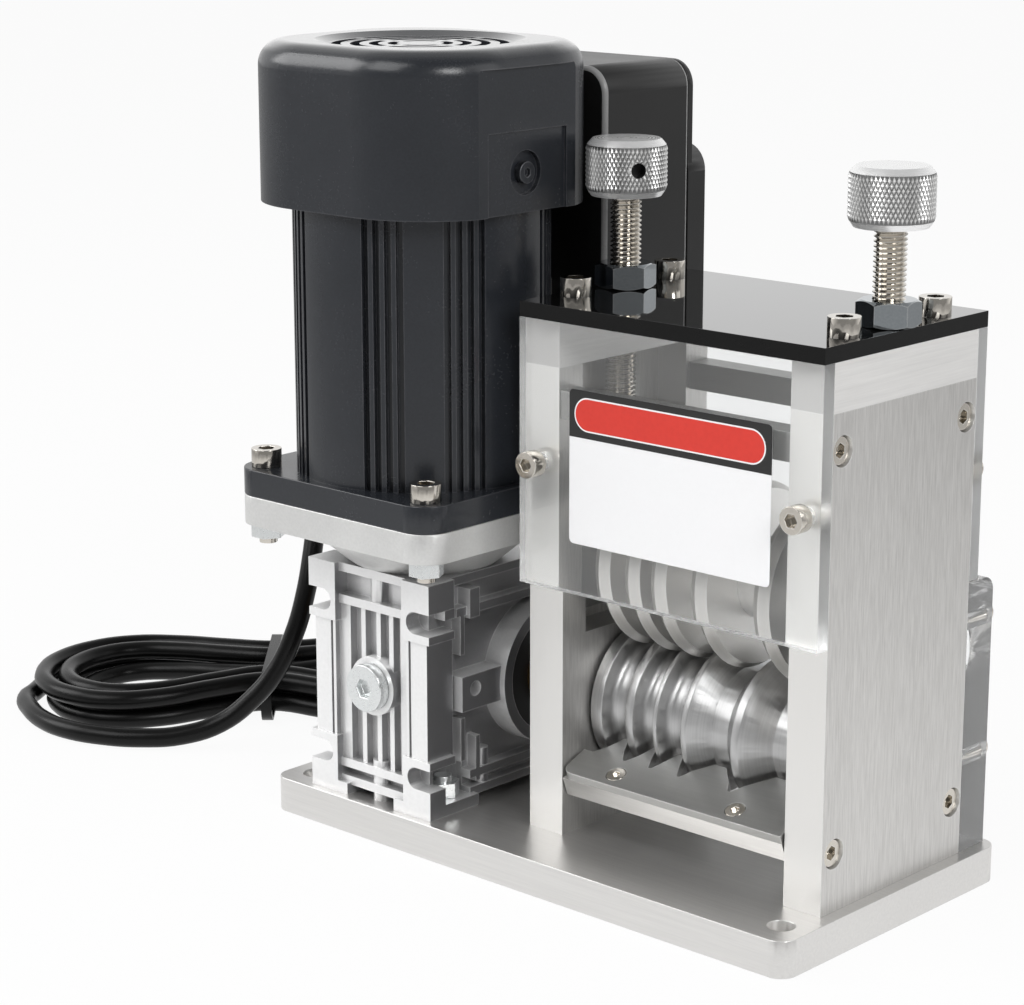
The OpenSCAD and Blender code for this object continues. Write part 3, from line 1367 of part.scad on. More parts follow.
module worm_thread() {
    n = worm_turns * worm_steps;
    points = [for (i = [0 : n]) each worm_section(90 + 360 * i / worm_steps, (i / worm_steps - worm_turns / 2) * worm_pitch)];
    sides = [for (i = [0 : n - 1], k = [0 : 3])
        let (a = 4 * i + k, b = 4 * i + (k + 1) % 4)
        each [[a, b, a + 4], [b, b + 4, a + 4]]];
    ends = [[0, 2, 1], [0, 3, 2], [4 * n, 4 * n + 1, 4 * n + 2], [4 * n, 4 * n + 2, 4 * n + 3]];
    polyhedron(points, concat(sides, ends));
}

worm_bottom = base_t + 5;
worm_shaft_top = gear_top + neck_h;
module worm_shaft() {
    color("silver")
    translate([drive_x, motor_y, 0]) difference() {
        union() {
            translate([0, 0, worm_bottom]) cylinder(d = worm_journal_d, h = worm_shaft_top - worm_bottom);
            translate([0, 0, roller_z]) worm_thread();
        }
        translate([0, 0, gear_top - worm_bearing_w]) cylinder(d = motor_shaft_d + 2 * seat_gap, h = gear_h);
    }
}

// Motor rotor with its shaft, and the fan on top
module motor_rotor() {
    color("gray")
    translate([drive_x, motor_y, 0]) {
        translate([0, 0, gear_top - worm_bearing_w + 1]) cylinder(d = motor_shaft_d, h = fan_z + fan_h - gear_top + worm_bearing_w);
        translate([0, 0, stator_z]) ring(2 * rotor_r, motor_shaft_d - 2 * hair, stator_h);
    }
}

fan_r = 38;
fan_h = 14;
fan_hub_d = 20;
fan_blades = 7;
fan_z = motor_top + 4;
module cooling_fan() {
    color("dimgray")
    translate([drive_x, motor_y, fan_z]) difference() {
        union() {
            cylinder(r = fan_r, h = 1.6);
            cylinder(d = fan_hub_d, h = fan_h);
            for (i = [0 : fan_blades - 1])
                rotate([0, 0, 360 * i / fan_blades]) translate([fan_hub_d / 2 - 1, -1, 0.8]) cube([fan_r - fan_hub_d / 2 - 1, 2, fan_h - 2]);
        }
        translate([0, 0, -through]) cylinder(d = motor_shaft_d + 2 * seat_gap, h = fan_h + 2 * through);
    }
}

// Bearings of the drive shaft in the side plates
module roller_bearings() {
    color("gainsboro") {
        translate([inner_left - roller_bearing_w, head_y, roller_z])
            along_x() ring(roller_bearing_d, drive_d + 2 * run_gap, roller_bearing_w);
        translate([inner_right, head_y, roller_z])
            along_x() ring(roller_bearing_d, drive_d + 2 * run_gap, roller_bearing_w);
    }
}

// Bearing blocks that slide in the pockets of the side plates
block_t = pocket_depth - slide_gap;
block_w = pocket_w - 2 * slide_gap;
module bearing_block() {
    difference() {
        translate([-block_t, head_y - block_w / 2, blade_z - block_below])
            cube([block_t, block_w, block_below + block_above]);
        translate([-blade_bearing_w - seat_gap, head_y, blade_z])
            along_x() cylinder(d = blade_bearing_d + 2 * seat_gap, h = block_t);
        translate([-stud_inset, head_y, blade_z + block_above - stud_seat - 0.2])
            cylinder(d = stud_d + 2 * run_gap, h = stud_seat + through);
    }
}

module bearing_blocks() {
    color("silver") {
        on_left() bearing_block();
        on_right() bearing_block();
    }
}

module blade_bearings() {
    color("gainsboro") {
        translate([inner_left - blade_bearing_w, head_y, blade_z])
            along_x() ring(blade_bearing_d, journal_d + 2 * run_gap, blade_bearing_w);
        translate([inner_right, head_y, blade_z])
            along_x() ring(blade_bearing_d, journal_d + 2 * run_gap, blade_bearing_w);
    }
}

// Blade shaft with its discs and spacers
shaft_gap = 0.6;
module blade_shaft() {
    color("silver") {
        translate([inner_left + shaft_gap, head_y, blade_z])
            along_x() cylinder(d = blade_shaft_d, h = head_gap - 2 * shaft_gap);
        translate([inner_left - blade_bearing_w + 0.4, head_y, blade_z])
            along_x() cylinder(d = journal_d, h = head_gap + 2 * blade_bearing_w - 0.8);
    }
}

module blade_discs() {
    color("gray")
    for (g = grooves)
        translate([roller_left + g[0], head_y, blade_z]) along_x() rotate_extrude() mirror([1, 0, 0]) rotate([0, 0, 90])
            polygon([
                [-blade_t / 2, blade_shaft_d / 2 + seat_gap], [-blade_t / 2, blade_r - blade_bevel], [0, blade_r],
                [blade_t / 2, blade_r - blade_bevel], [blade_t / 2, blade_shaft_d / 2 + seat_gap]
            ]);
}

// Gaps between the discs and at both ends, filled with spacers
spacer_from = concat([shaft_gap], [for (g = grooves) roller_gap + g[0] + blade_t / 2 + seat_gap]);
spacer_to = concat([for (g = grooves) roller_gap + g[0] - blade_t / 2 - seat_gap], [head_gap - shaft_gap]);
module blade_spacers() {
    color("dimgray")
    for (i = [0 : len(grooves)])
        translate([inner_left + spacer_from[i], head_y, blade_z])
            along_x() ring(spacer_d, blade_shaft_d + 2 * seat_gap, spacer_to[i] - spacer_from[i]);
}

// Knobs, studs and lock nuts
knob_bore = 10;
knob_chamfer = 1.6;
stud_low = blade_z + block_above - stud_seat;
module stud() {
    translate([0, 0, stud_low]) cylinder(d = stud_d, h = knob_z + knob_bore - stud_low);
}

module knob() {
    translate([0, 0, knob_z]) difference() {
        rotate_extrude() polygon([
            [0, 0], [knob_d / 2 - knob_chamfer, 0], [knob_d / 2, knob_chamfer], [knob_d / 2, knob_h - knob_chamfer],
            [knob_d / 2 - knob_chamfer, knob_h], [0, knob_h]
        ]);
        translate([0, 0, -through]) cylinder(d = stud_d + 2 * seat_gap, h = knob_bore + through);
        // Radial hole of the set screw
        translate([0, 0, knob_h / 2]) rotate([90, 0, 20]) cylinder(d = 4.4, h = knob_d);
    }
}

module left_knob() {
    color("silver") translate([stud_left, head_y, 0]) knob();
}

module left_stud() {
    color("tan") translate([stud_left, head_y, 0]) stud();
}

module right_knob() {
    color("silver") translate([stud_right, head_y, 0]) rotate([0, 0, 180]) knob();
}

module right_stud() {
    color("tan") translate([stud_right, head_y, 0]) stud();
}

module lock_nuts() {
    color("gray")
    for (x = [stud_left, stud_right])
        translate([x, head_y, cover_top]) hex_nut(nut_w, nut_h, stud_d + 2 * run_gap);
}

base_plate();
left_side_plate();
right_side_plate();
cap_bars();
top_cover();
cap_screws();
front_guard();
rear_guard();
guard_screws();
wire_guide();
tie_bars();
comb_bar();
comb_plate();
comb_screws();
side_screws();
base_screws();
gearbox_housing();
gearbox_cover();
gearbox_cover_screws();
oil_plug();
output_seals();
output_bearings();
shaft_bearings();
gearbox_studs();
input_flange();
motor_flange();
motor_body();
stator();
fan_cover();
cover_screws();
flange_bolts();
flange_nuts();
control_box();
control_box_lid();
run_capacitor();
switch_frame();
cord_gland();
power_cord();
cord_hank();
cord_tie();
plug();
roller_bearings();
lock_nuts();
drive_shaft();
feed_roller();
worm_wheel();
motor_rotor();
worm_shaft();
cooling_fan();
bearing_blocks();
blade_bearings();
blade_shaft();
blade_discs();
blade_spacers();
left_knob();
left_stud();
right_knob();
right_stud();
switch_rocker();
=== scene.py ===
# %% [markdown]
# # Bench wire stripper
# A worm-geared motor turns a grooved roller under a row of disc blades. Two knurled knobs set the
# height of the blades. The solids of the machine come from the CAD model, so this lesson adds what
# a CAD model lacks: finishes, soft edges, knurls, threads, clear plastic and a real cord.

import math

import bmesh
import bpy
from mathutils import Matrix, Vector


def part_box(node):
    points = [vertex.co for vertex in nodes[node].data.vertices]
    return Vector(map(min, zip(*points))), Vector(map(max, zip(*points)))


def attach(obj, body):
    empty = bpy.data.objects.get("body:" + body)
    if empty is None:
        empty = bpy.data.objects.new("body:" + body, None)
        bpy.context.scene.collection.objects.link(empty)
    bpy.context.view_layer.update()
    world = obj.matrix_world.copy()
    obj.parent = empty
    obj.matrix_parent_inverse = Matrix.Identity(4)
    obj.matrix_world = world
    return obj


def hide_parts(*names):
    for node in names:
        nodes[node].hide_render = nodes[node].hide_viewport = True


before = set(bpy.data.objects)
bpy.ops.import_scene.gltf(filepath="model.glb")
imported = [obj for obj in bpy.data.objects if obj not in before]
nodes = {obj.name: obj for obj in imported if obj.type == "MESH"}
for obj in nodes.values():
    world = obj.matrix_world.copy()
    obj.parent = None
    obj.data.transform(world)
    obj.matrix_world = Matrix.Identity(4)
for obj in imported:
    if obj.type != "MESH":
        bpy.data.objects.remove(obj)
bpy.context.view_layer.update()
MM = 0.001
print("machine loaded:", len(nodes), "pieces")

# %% [markdown]
# ## Camera
# A product photographer stands well back with a long lens, so that upright edges stay upright. The
# camera here looks down a little from the right. It could be turned by eye, but numbers for its place,
# turn and lens, at real size, give the same picture every time.

# %% Camera
CAMERA_PLACE = Vector((0.5719, -0.6734, 0.3360))
CAMERA_AZIMUTH = 42.74
CAMERA_ELEVATION = 13.97
CAMERA_ROLL = -0.065
CAMERA_LENS = 98.92

camera_data = bpy.data.cameras.new("photo_camera")
camera_data.sensor_fit = "HORIZONTAL"
camera_data.sensor_width = 36
camera_data.lens = CAMERA_LENS
camera_data.clip_start = 0.01
camera = bpy.data.objects.new("photo_camera", camera_data)
turn = Matrix.Rotation(math.radians(CAMERA_AZIMUTH), 4, "Z")
tilt = Matrix.Rotation(math.radians(90 - CAMERA_ELEVATION), 4, "X")
roll = Matrix.Rotation(math.radians(CAMERA_ROLL), 4, "Z")
camera.matrix_world = Matrix.Translation(CAMERA_PLACE) @ turn @ tilt @ roll
bpy.context.scene.collection.objects.link(camera)
bpy.context.scene.camera = camera
bpy.context.scene.view_settings.view_transform = "Standard"
print("camera lens", CAMERA_LENS, "mm")

# %% [markdown]
# ## Helpers for new pieces
# Every new piece is a mesh made with bmesh operators. It stands at the origin, as the CAD pieces do,
# with its place in its own vertices, and it moves with one body of the machine. Round faces are
# shaded smooth, and an edge stays sharp where two faces meet at an angle. Blender can turn a whole
# closed shape inside out when it recalculates its faces, so the sign of the volume is checked as well.


# %% Helpers for new pieces
SAME_PLACE = 1e-6


def place_piece(name, bm, body, materials, stands_for=(), sharp=35):
    """Turns a bmesh into an object that moves with a body of the machine."""
    bmesh.ops.remove_doubles(bm, verts=bm.verts, dist=SAME_PLACE)
    bmesh.ops.recalc_face_normals(bm, faces=bm.faces)
    if bm.calc_volume(signed=True) < 0:
        bmesh.ops.reverse_faces(bm, faces=bm.faces)
    mesh = bpy.data.meshes.new(name)
    bm.to_mesh(mesh)
    bm.free()
    mesh.polygons.foreach_set("use_smooth", [True] * len(mesh.polygons))
    mesh.set_sharp_from_angle(angle=math.radians(sharp))
    for material in materials:
        mesh.materials.append(material)
    piece = bpy.data.objects.new(name, mesh)
    bpy.context.scene.collection.objects.link(piece)
    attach(piece, body)
    if stands_for:
        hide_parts(*stands_for)
    print("made", name, "with", len(mesh.polygons), "faces")
    return piece


def lathe(bm, profile, axis_place, steps):
    """Spins (height, radius) points about an upright axis into a closed shape."""
    foot = Vector(axis_place)
    made = [bm.verts.new(foot + Vector((radius, 0, height))) for height, radius in profile]
    chain = [bm.edges.new(pair) for pair in zip(made, made[1:])]
    bmesh.ops.spin(
        bm, geom=made + chain, cent=foot, axis=(0, 0, 1), angle=2 * math.pi, steps=steps,
        use_merge=True,
    )


# %% [markdown]
# ## Helpers for node trees
# A finish is a tree of nodes. Each could be wired by hand in the shader editor, but that takes many
# clicks, and most steps repeat. A few short functions add a node, feed its inputs and set its values.


# %% Helpers for node trees
def add_node(tree, kind, feeds=None, **settings):
    """A shader node with its settings. Each input that is named takes a value or a link."""
    node = tree.nodes.new("ShaderNode" + kind)
    for setting, value in settings.items():
        setattr(node, setting, value)
    for label, given in (feeds or {}).items():
        if isinstance(given, bpy.types.NodeSocket):
            tree.links.new(given, node.inputs[label])
        else:
            node.inputs[label].default_value = given
    return node


def ramp(tree, value, start, end, low, high):
    """A number that goes from low to high as the value goes from start to end."""
    feeds = {"Value": value, "From Min": start, "From Max": end, "To Min": low, "To Max": high}
    return add_node(tree, "MapRange", feeds).outputs["Result"]


def math_node(tree, operation, first, second):
    return add_node(tree, "Math", {0: first, 1: second}, operation=operation).outputs["Value"]


def length_of(tree, vector):
    return add_node(tree, "VectorMath", {0: vector}, operation="LENGTH").outputs["Value"]


def dot_product(tree, first, second):
    return add_node(tree, "VectorMath", {0: first, 1: second}, operation="DOT_PRODUCT").outputs["Value"]


def normal_of(tree):
    return tree.nodes.new("ShaderNodeNewGeometry").outputs["Normal"]


def place_on_piece(tree):
    return tree.nodes.new("ShaderNodeTexCoord").outputs["Object"]


# %% [markdown]
# ## Shared surface effects
# Metal and plastic are never one flat colour. Six effects are used again and again: fine lines left
# by brushing, rings left by a lathe, the grain of a casting, edges that handling has rubbed brighter,
# with a painted highlight along them, painted shade in hollows where little light gets in, and a
# mask that tells the cut ends of a bar from its brushed sides, which the casting also uses for painted
# shade on its sides. Each is a node group, built once, so that every finish can use it with its own
# values.


# %% Empty groups
def new_group(name, inputs, outputs):
    """An empty node group with named sockets."""
    group = bpy.data.node_groups.new(name, "ShaderNodeTree")
    for label, kind, value in inputs:
        socket = group.interface.new_socket(name=label, in_out="INPUT", socket_type=kind)
        if value is not None:
            socket.default_value = value
    for label in outputs:
        group.interface.new_socket(name=label, in_out="OUTPUT", socket_type="NodeSocketFloat")
    given, result = group.nodes.new("NodeGroupInput"), group.nodes.new("NodeGroupOutput")
    return group, given.outputs, result.inputs


# %% Grain of brushed, cast and turned metal
def grain_group(name, fine, cloud_scale, cloud_share):
    """Fine detail over slow clouds. The fine detail is made by a small function."""
    inputs = [("Coordinates", "NodeSocketVector", None), ("Scale", "NodeSocketFloat", 900.0)]
    group, given, result = new_group(name, inputs, ["Tone", "Height"])
    detail = fine(group, given)
    cloud = add_node(
        group, "TexNoise", {"Vector": given["Coordinates"], "Scale": cloud_scale, "Detail": 4},
    )
    mix = add_node(group, "Mix", {"Factor": cloud_share, 2: detail, 3: cloud.outputs["Fac"]})
    group.links.new(mix.outputs[0], result["Tone"])
    group.links.new(detail, result["Height"])
    return group


def brushed_detail(group, given):
    feeds = {"Vector": given["Coordinates"], "Scale": given["Scale"], "Detail": 4, "Roughness": 0.7}
    return add_node(group, "TexNoise", feeds).outputs["Fac"]


def cast_detail(group, given):
    feeds = {"Vector": given["Coordinates"], "Scale": given["Scale"]}
    return add_node(group, "TexVoronoi", feeds, feature="SMOOTH_F1").outputs["Distance"]


def ring_detail(group, given):
    radius = length_of(group, given["Coordinates"])
    feeds = {"W": radius, "Scale": given["Scale"], "Detail": 3}
    return add_node(group, "TexNoise", feeds, noise_dimensions="1D").outputs["Fac"]


BRUSHED_LINES = grain_group("brushed_lines", brushed_detail, 14, 0.3)
CAST_GRAIN = grain_group("cast_grain", cast_detail, 45, 0.6)
LATHE_RINGS = grain_group("lathe_rings", ring_detail, 60, 0.3)
print("grains built:", len(bpy.data.node_groups))


# %% Masks for edges, faces and hollows
EDGE_FLAT, EDGE_SHARP, PATCH_SCALE = 0.995, 0.86, 220
LOOKS_AWAY, LOOKS_ALONG = 0.6, 0.8
OPEN_SHARE, SHUT_SHARE = 0.7, 0.25


def build_wear_and_highlight_edges():
    """Up to 1 along edges, in patches: rubbed wear and a painted highlight. A rounded normal differs
    from the true one only there.
    """
    inputs = [("Coordinates", "NodeSocketVector", None), ("Width", "NodeSocketFloat", 0.0006)]
    group, given, result = new_group("wear_and_highlight_edges", inputs, ["Mask"])
    rounded = add_node(group, "Bevel", {"Radius": given["Width"]}, samples=4).outputs["Normal"]
    match = dot_product(group, normal_of(group), rounded)
    edge = ramp(group, match, EDGE_FLAT, EDGE_SHARP, 0, 1)
    patches = add_node(group, "TexNoise", {"Vector": given["Coordinates"], "Scale": PATCH_SCALE})
    group.links.new(math_node(group, "MULTIPLY", edge, patches.outputs["Fac"]), result["Mask"])
    return group


def build_facing():
    """1 on faces that look along a chosen axis, either way, and 0 on the others."""
    group, given, result = new_group("facing", [("Axis", "NodeSocketVector", None)], ["Mask"])
    along = dot_product(group, normal_of(group), given["Axis"])
    either_way = add_node(group, "Math", {0: along}, operation="ABSOLUTE").outputs["Value"]
    group.links.new(ramp(group, either_way, LOOKS_AWAY, LOOKS_ALONG, 0, 1), result["Mask"])
    return group


def build_painted_hollow_shade():
    """1 in corners and hollows, where little light gets in, and 0 on open faces: a mask for painted
    shade.
    """
    group, given, result = new_group("hollows", [("Distance", "NodeSocketFloat", 0.012)], ["Mask"])
    reach = add_node(group, "AmbientOcclusion", {"Distance": given["Distance"]}, samples=6)
    depth = ramp(group, reach.outputs["AO"], OPEN_SHARE, SHUT_SHARE, 0, 1)
    group.links.new(depth, result["Mask"])
    return group


WEAR_AND_HIGHLIGHT_EDGES = build_wear_and_highlight_edges()
FACING = build_facing()
PAINTED_HOLLOW_SHADE = build_painted_hollow_shade()
print("effects built:", len(bpy.data.node_groups))

# %% [markdown]
# ## Finishes
# A finish is a Principled shader whose colour and roughness drift between two values with one of the
# effects above. A photograph of metal could be wrapped round each part instead, but it would need
# unwrapped meshes, and it would stretch. Noise that reads the place on the piece needs neither. A
# stretched mapping turns it into brush lines, and a small bump catches light.


# %% Finishes
PAINTED_SHADE_REACH, COAT_ROUGHNESS = 0.011, 0.03
TONE_LOW, TONE_HIGH = 0.25, 0.75


def new_material(name, values):
    """A material whose Principled shader has some plain values."""
    material = bpy.data.materials.new(name)
    material.use_nodes = True
    shader = material.node_tree.nodes["Principled BSDF"]
    for label, value in values.items():
        shader.inputs[label].default_value = value
    return material, material.node_tree, shader


def blend_colour(tree, mask, below, above):
    feeds = {"Factor": mask}
    for socket, colour in ((6, below), (7, above)):
        feeds[socket] = (*colour, 1) if isinstance(colour, tuple) else colour
    return add_node(tree, "Mix", feeds, data_type="RGBA").outputs[2]


def mask_of(tree, effect, **feeds):
    return add_node(tree, "Group", feeds, node_tree=effect).outputs["Mask"]


def finish(
    name, dark, light, metallic, rough, effect, scale, stretch=(1, 1, 1), centre=(0, 0, 0), bump=0.1,
    depth=0.0001, wear_and_painted_highlight=None, ends_and_side_shade=None, end_and_shade_axis=(0, 1, 0), hollow=None, coat=0.0, ior=1.5,
):
    """A material that drifts from a dark to a light tone, with ends, painted shade in hollows and on
    sides, and worn edges that also paint a highlight.
    """
    plain = {"Metallic": metallic, "IOR": ior, "Coat Roughness": COAT_ROUGHNESS}
    material, tree, shader = new_material(name, plain)
    place = place_on_piece(tree)
    shift = [-c * s for c, s in zip(centre, stretch)]
    mapping = add_node(tree, "Mapping", {"Vector": place, "Scale": stretch, "Location": shift})
    feeds = {"Coordinates": mapping.outputs["Vector"], "Scale": scale}
    grain = add_node(tree, "Group", feeds, node_tree=effect).outputs
    colour = blend_colour(tree, grain["Tone"], dark, light)
    # Ends get a tone of their own. On the casting, the faces along X take painted shade this way.
    if ends_and_side_shade:
        colour = blend_colour(tree, mask_of(tree, FACING, Axis=end_and_shade_axis), colour, ends_and_side_shade)
    # Painted shade: hollows where little light gets in are darkened.
    if hollow:
        colour = blend_colour(tree, mask_of(tree, PAINTED_HOLLOW_SHADE, Distance=PAINTED_SHADE_REACH), colour, hollow)
    # Rubbed wear along the edges, which also paints a highlight there.
    if wear_and_painted_highlight:
        colour = blend_colour(tree, mask_of(tree, WEAR_AND_HIGHLIGHT_EDGES, Coordinates=place), colour, wear_and_painted_highlight)
    tree.links.new(colour, shader.inputs["Base Color"])
    if coat:
        polish = math_node(tree, "MULTIPLY", mask_of(tree, FACING, Axis=(0, 0, 1)), coat)
        tree.links.new(polish, shader.inputs["Coat Weight"])
    gloss = ramp(tree, grain["Tone"], TONE_LOW, TONE_HIGH, *rough)
    tree.links.new(gloss, shader.inputs["Roughness"])
    relief = {"Strength": bump, "Distance": depth, "Height": grain["Height"]}
    tree.links.new(add_node(tree, "Bump", relief).outputs["Normal"], shader.inputs["Normal"])
    return material


# %% [markdown]
# ## Aluminium
# The frame is brushed bar and plate, the gearbox and its flange are cast. One grey for all would look
# like plastic, so each has its own lines or grain. The cut ends of a bar get a colour of their own.
# The sides and hollows of the casting get painted shade, darker than its machined faces.

# %% Aluminium
plate_aluminium = finish(
    "plate_aluminium", (0.30, 0.29, 0.28), (0.90, 0.89, 0.87), 0.8, (0.3, 0.46), BRUSHED_LINES,
    1500, (1, 1, 0.06), bump=0.2, wear_and_painted_highlight=(0.9, 0.9, 0.89), ends_and_side_shade=(0.82, 0.81, 0.79),
)
cap_aluminium = finish(
    "cap_aluminium", (0.68, 0.67, 0.66), (1.0, 0.99, 0.97), 0.5, (0.34, 0.5), BRUSHED_LINES,
    900, (1, 0.03, 1), bump=0.16, wear_and_painted_highlight=(0.85, 0.85, 0.84), ends_and_side_shade=(0.60, 0.59, 0.58),
)
base_aluminium = finish(
    "base_aluminium", (0.58, 0.57, 0.56), (0.84, 0.83, 0.81), 0.85, (0.26, 0.42), BRUSHED_LINES,
    900, (0.03, 1, 1), bump=0.1, wear_and_painted_highlight=(0.88, 0.88, 0.87),
)
comb_aluminium = finish(
    "comb_aluminium", (0.34, 0.34, 0.33), (0.50, 0.50, 0.49), 0.85, (0.36, 0.48), BRUSHED_LINES,
    700, (0.05, 1, 1), bump=0.1, wear_and_painted_highlight=(0.86, 0.86, 0.85),
)
# The hollow colour and the side colour along X of the casting are painted shade.
cast_aluminium = finish(
    "cast_aluminium", (0.86, 0.86, 0.86), (1.0, 1.0, 1.0), 0.5, (0.28, 0.42), CAST_GRAIN,
    900, bump=0.26, wear_and_painted_highlight=(1.0, 1.0, 1.0), hollow=(0.42, 0.42, 0.425), ends_and_side_shade=(0.16, 0.16, 0.165),
    end_and_shade_axis=(1, 0, 0),
)
flange_aluminium = finish(
    "flange_aluminium", (0.64, 0.64, 0.63), (0.84, 0.84, 0.83), 0.7, (0.4, 0.55), CAST_GRAIN,
    1200, bump=0.2, wear_and_painted_highlight=(0.85, 0.85, 0.84),
)
print("aluminium finishes mixed:", len(bpy.data.materials))

# %% [markdown]
# ## Paint, plastic and rubber
# The motor is painted dark grey, and the box, the cover and the cord are black. Pure black hides every
# shape, so these colours are only nearly black, with a fine grain, and the gloss does the rest. The
# upper faces of the fan cover and the top cover have a clear coat, which mirrors what stands on them.

# %% Paint
motor_paint, cover_paint = [
    finish(
        name, (0.015, 0.017, 0.021), (0.027, 0.030, 0.036), 0.0, (0.2, 0.3), CAST_GRAIN, 1500,
        bump=0.14, wear_and_painted_highlight=(0.12, 0.12, 0.13), coat=coat,
    )
    for name, coat in (("motor_paint", 0.0), ("cover_paint", 1.0))
]
PRINTED_COLOURS = {
    "plate_white": ((0.93, 0.93, 0.94), (0.97, 0.97, 0.98)),
    "band_black": ((0.012, 0.012, 0.012), (0.020, 0.020, 0.020)),
    "stripe_red": ((0.66, 0.030, 0.018), (0.78, 0.046, 0.028)),
}
plate_white, band_black, stripe_red = [
    finish(name, dark, light, 0.0, (0.3, 0.4), CAST_GRAIN, 700, bump=0.02)
    for name, (dark, light) in PRINTED_COLOURS.items()
]
print("with paint:", len(bpy.data.materials))

# %% Plastic and rubber
black_plastic = finish(
    "black_plastic", (0.006, 0.006, 0.006), (0.014, 0.014, 0.014), 0.0, (0.32, 0.44), CAST_GRAIN,
    2200, bump=0.15, wear_and_painted_highlight=(0.05, 0.05, 0.05), ior=1.42,
)
box_plastic = finish(
    "box_plastic", (0.007, 0.007, 0.007), (0.015, 0.015, 0.015), 0.0, (0.3, 0.4), CAST_GRAIN,
    2200, bump=0.12, wear_and_painted_highlight=(0.05, 0.05, 0.05), ior=1.46,
)
# The grey of the control box's rounded edges is a painted highlight.
box_edge_painted_highlight = finish(
    "box_edge_painted_highlight", (0.26, 0.26, 0.26), (0.36, 0.36, 0.36), 0.0, (0.25, 0.35), CAST_GRAIN,
    2200, bump=0.1,
)
gloss_black = finish(
    "gloss_black", (0.005, 0.005, 0.005), (0.009, 0.009, 0.009), 0.0, (0.03, 0.05), BRUSHED_LINES,
    60, bump=0.0, coat=0.8, ior=1.3,
)
cord_rubber = finish(
    "cord_rubber", (0.002, 0.002, 0.002), (0.005, 0.005, 0.005), 0.0, (0.26, 0.36), CAST_GRAIN,
    1800, bump=0.08, ior=1.3,
)
seal_rubber = finish(
    "seal_rubber", (0.010, 0.010, 0.010), (0.020, 0.020, 0.020), 0.0, (0.5, 0.65), CAST_GRAIN,
    1500, bump=0.1,
)
rocker_red = finish(
    "rocker_red", (0.40, 0.014, 0.010), (0.52, 0.024, 0.018), 0.0, (0.26, 0.34), CAST_GRAIN,
    2500, bump=0.05,
)
print("with plastic and rubber:", len(bpy.data.materials))

# %% [markdown]
# ## Steel, bronze and copper
# Screws and studs are nickel-plated, nuts are zinc-plated, and the blades and the roller are turned
# steel. They differ mostly in how sharply they mirror, so roughness tells them apart more than colour
# does. On the blades, rings about their own axis follow the lathe's tool.

# %% Plated screws and nuts
nickel = finish(
    "nickel", (0.54, 0.51, 0.46), (0.70, 0.66, 0.60), 1.0, (0.10, 0.16), BRUSHED_LINES,
    900, bump=0.01, wear_and_painted_highlight=(0.92, 0.90, 0.86),
)
zinc = finish(
    "zinc", (0.66, 0.68, 0.68), (0.90, 0.92, 0.92), 0.9, (0.24, 0.38), CAST_GRAIN,
    1100, bump=0.08, wear_and_painted_highlight=(0.92, 0.92, 0.92),
)
polished_zinc = finish(
    "polished_zinc", (0.30, 0.33, 0.35), (0.46, 0.49, 0.51), 1.0, (0.05, 0.11), CAST_GRAIN,
    1600, bump=0.08, wear_and_painted_highlight=(0.92, 0.92, 0.92),
)
dark_steel = finish(
    "dark_steel", (0.045, 0.048, 0.055), (0.085, 0.09, 0.10), 0.8, (0.25, 0.4), CAST_GRAIN,
    1400, bump=0.12, wear_and_painted_highlight=(0.4, 0.4, 0.42),
)
print("with plated parts:", len(bpy.data.materials))

# %% Steel, bronze and copper
BLADE_AXIS = Vector((0, 3.5, 101.5)) * MM
bar_steel = finish(
    "bar_steel", (0.24, 0.24, 0.23), (0.38, 0.38, 0.37), 0.9, (0.3, 0.45), BRUSHED_LINES,
    700, (0.04, 1, 1), bump=0.1, wear_and_painted_highlight=(0.7, 0.7, 0.7),
)
turned_steel = finish(
    "turned_steel", (0.38, 0.38, 0.38), (0.68, 0.68, 0.68), 1.0, (0.32, 0.42), BRUSHED_LINES,
    2200, (1, 0.003, 0.003), bump=0.06, wear_and_painted_highlight=(0.92, 0.92, 0.92),
)
blade_steel = finish(
    "blade_steel", (0.50, 0.49, 0.47), (0.68, 0.67, 0.65), 0.95, (0.3, 0.42), LATHE_RINGS,
    1500, (0, 1, 1), BLADE_AXIS, bump=0.12, wear_and_painted_highlight=(0.9, 0.9, 0.9), ends_and_side_shade=(0.96, 0.95, 0.93),
    end_and_shade_axis=(1, 0, 0),
)
spacer_steel = finish(
    "spacer_steel", (0.44, 0.43, 0.42), (0.84, 0.83, 0.81), 0.75, (0.4, 0.55), CAST_GRAIN,
    700, bump=0.5, depth=0.0003, wear_and_painted_highlight=(0.6, 0.6, 0.6),
)
bearing_steel = finish(
    "bearing_steel", (0.55, 0.55, 0.56), (0.72, 0.72, 0.73), 1.0, (0.18, 0.28), BRUSHED_LINES,
    1200, bump=0.03,
)
bronze = finish(
    "bronze", (0.38, 0.22, 0.08), (0.56, 0.36, 0.15), 1.0, (0.25, 0.38), BRUSHED_LINES,
    900, (1, 0.1, 0.1), bump=0.06,
)
copper_winding = finish(
    "copper_winding", (0.25, 0.10, 0.04), (0.45, 0.20, 0.08), 0.8, (0.3, 0.45), BRUSHED_LINES,
    600, (1, 1, 0.1), bump=0.2,
)
print("finishes mixed:", len(bpy.data.materials))

# %% [markdown]
# ## Clear plastic
# The guards and the wire guide are cast acrylic. A glass shader bends the view, and lamps shine
# straight through, because true caustics would take far too long. The sawn edges are frosted, so
# the roughness rises on faces that don't look forwards or backwards.


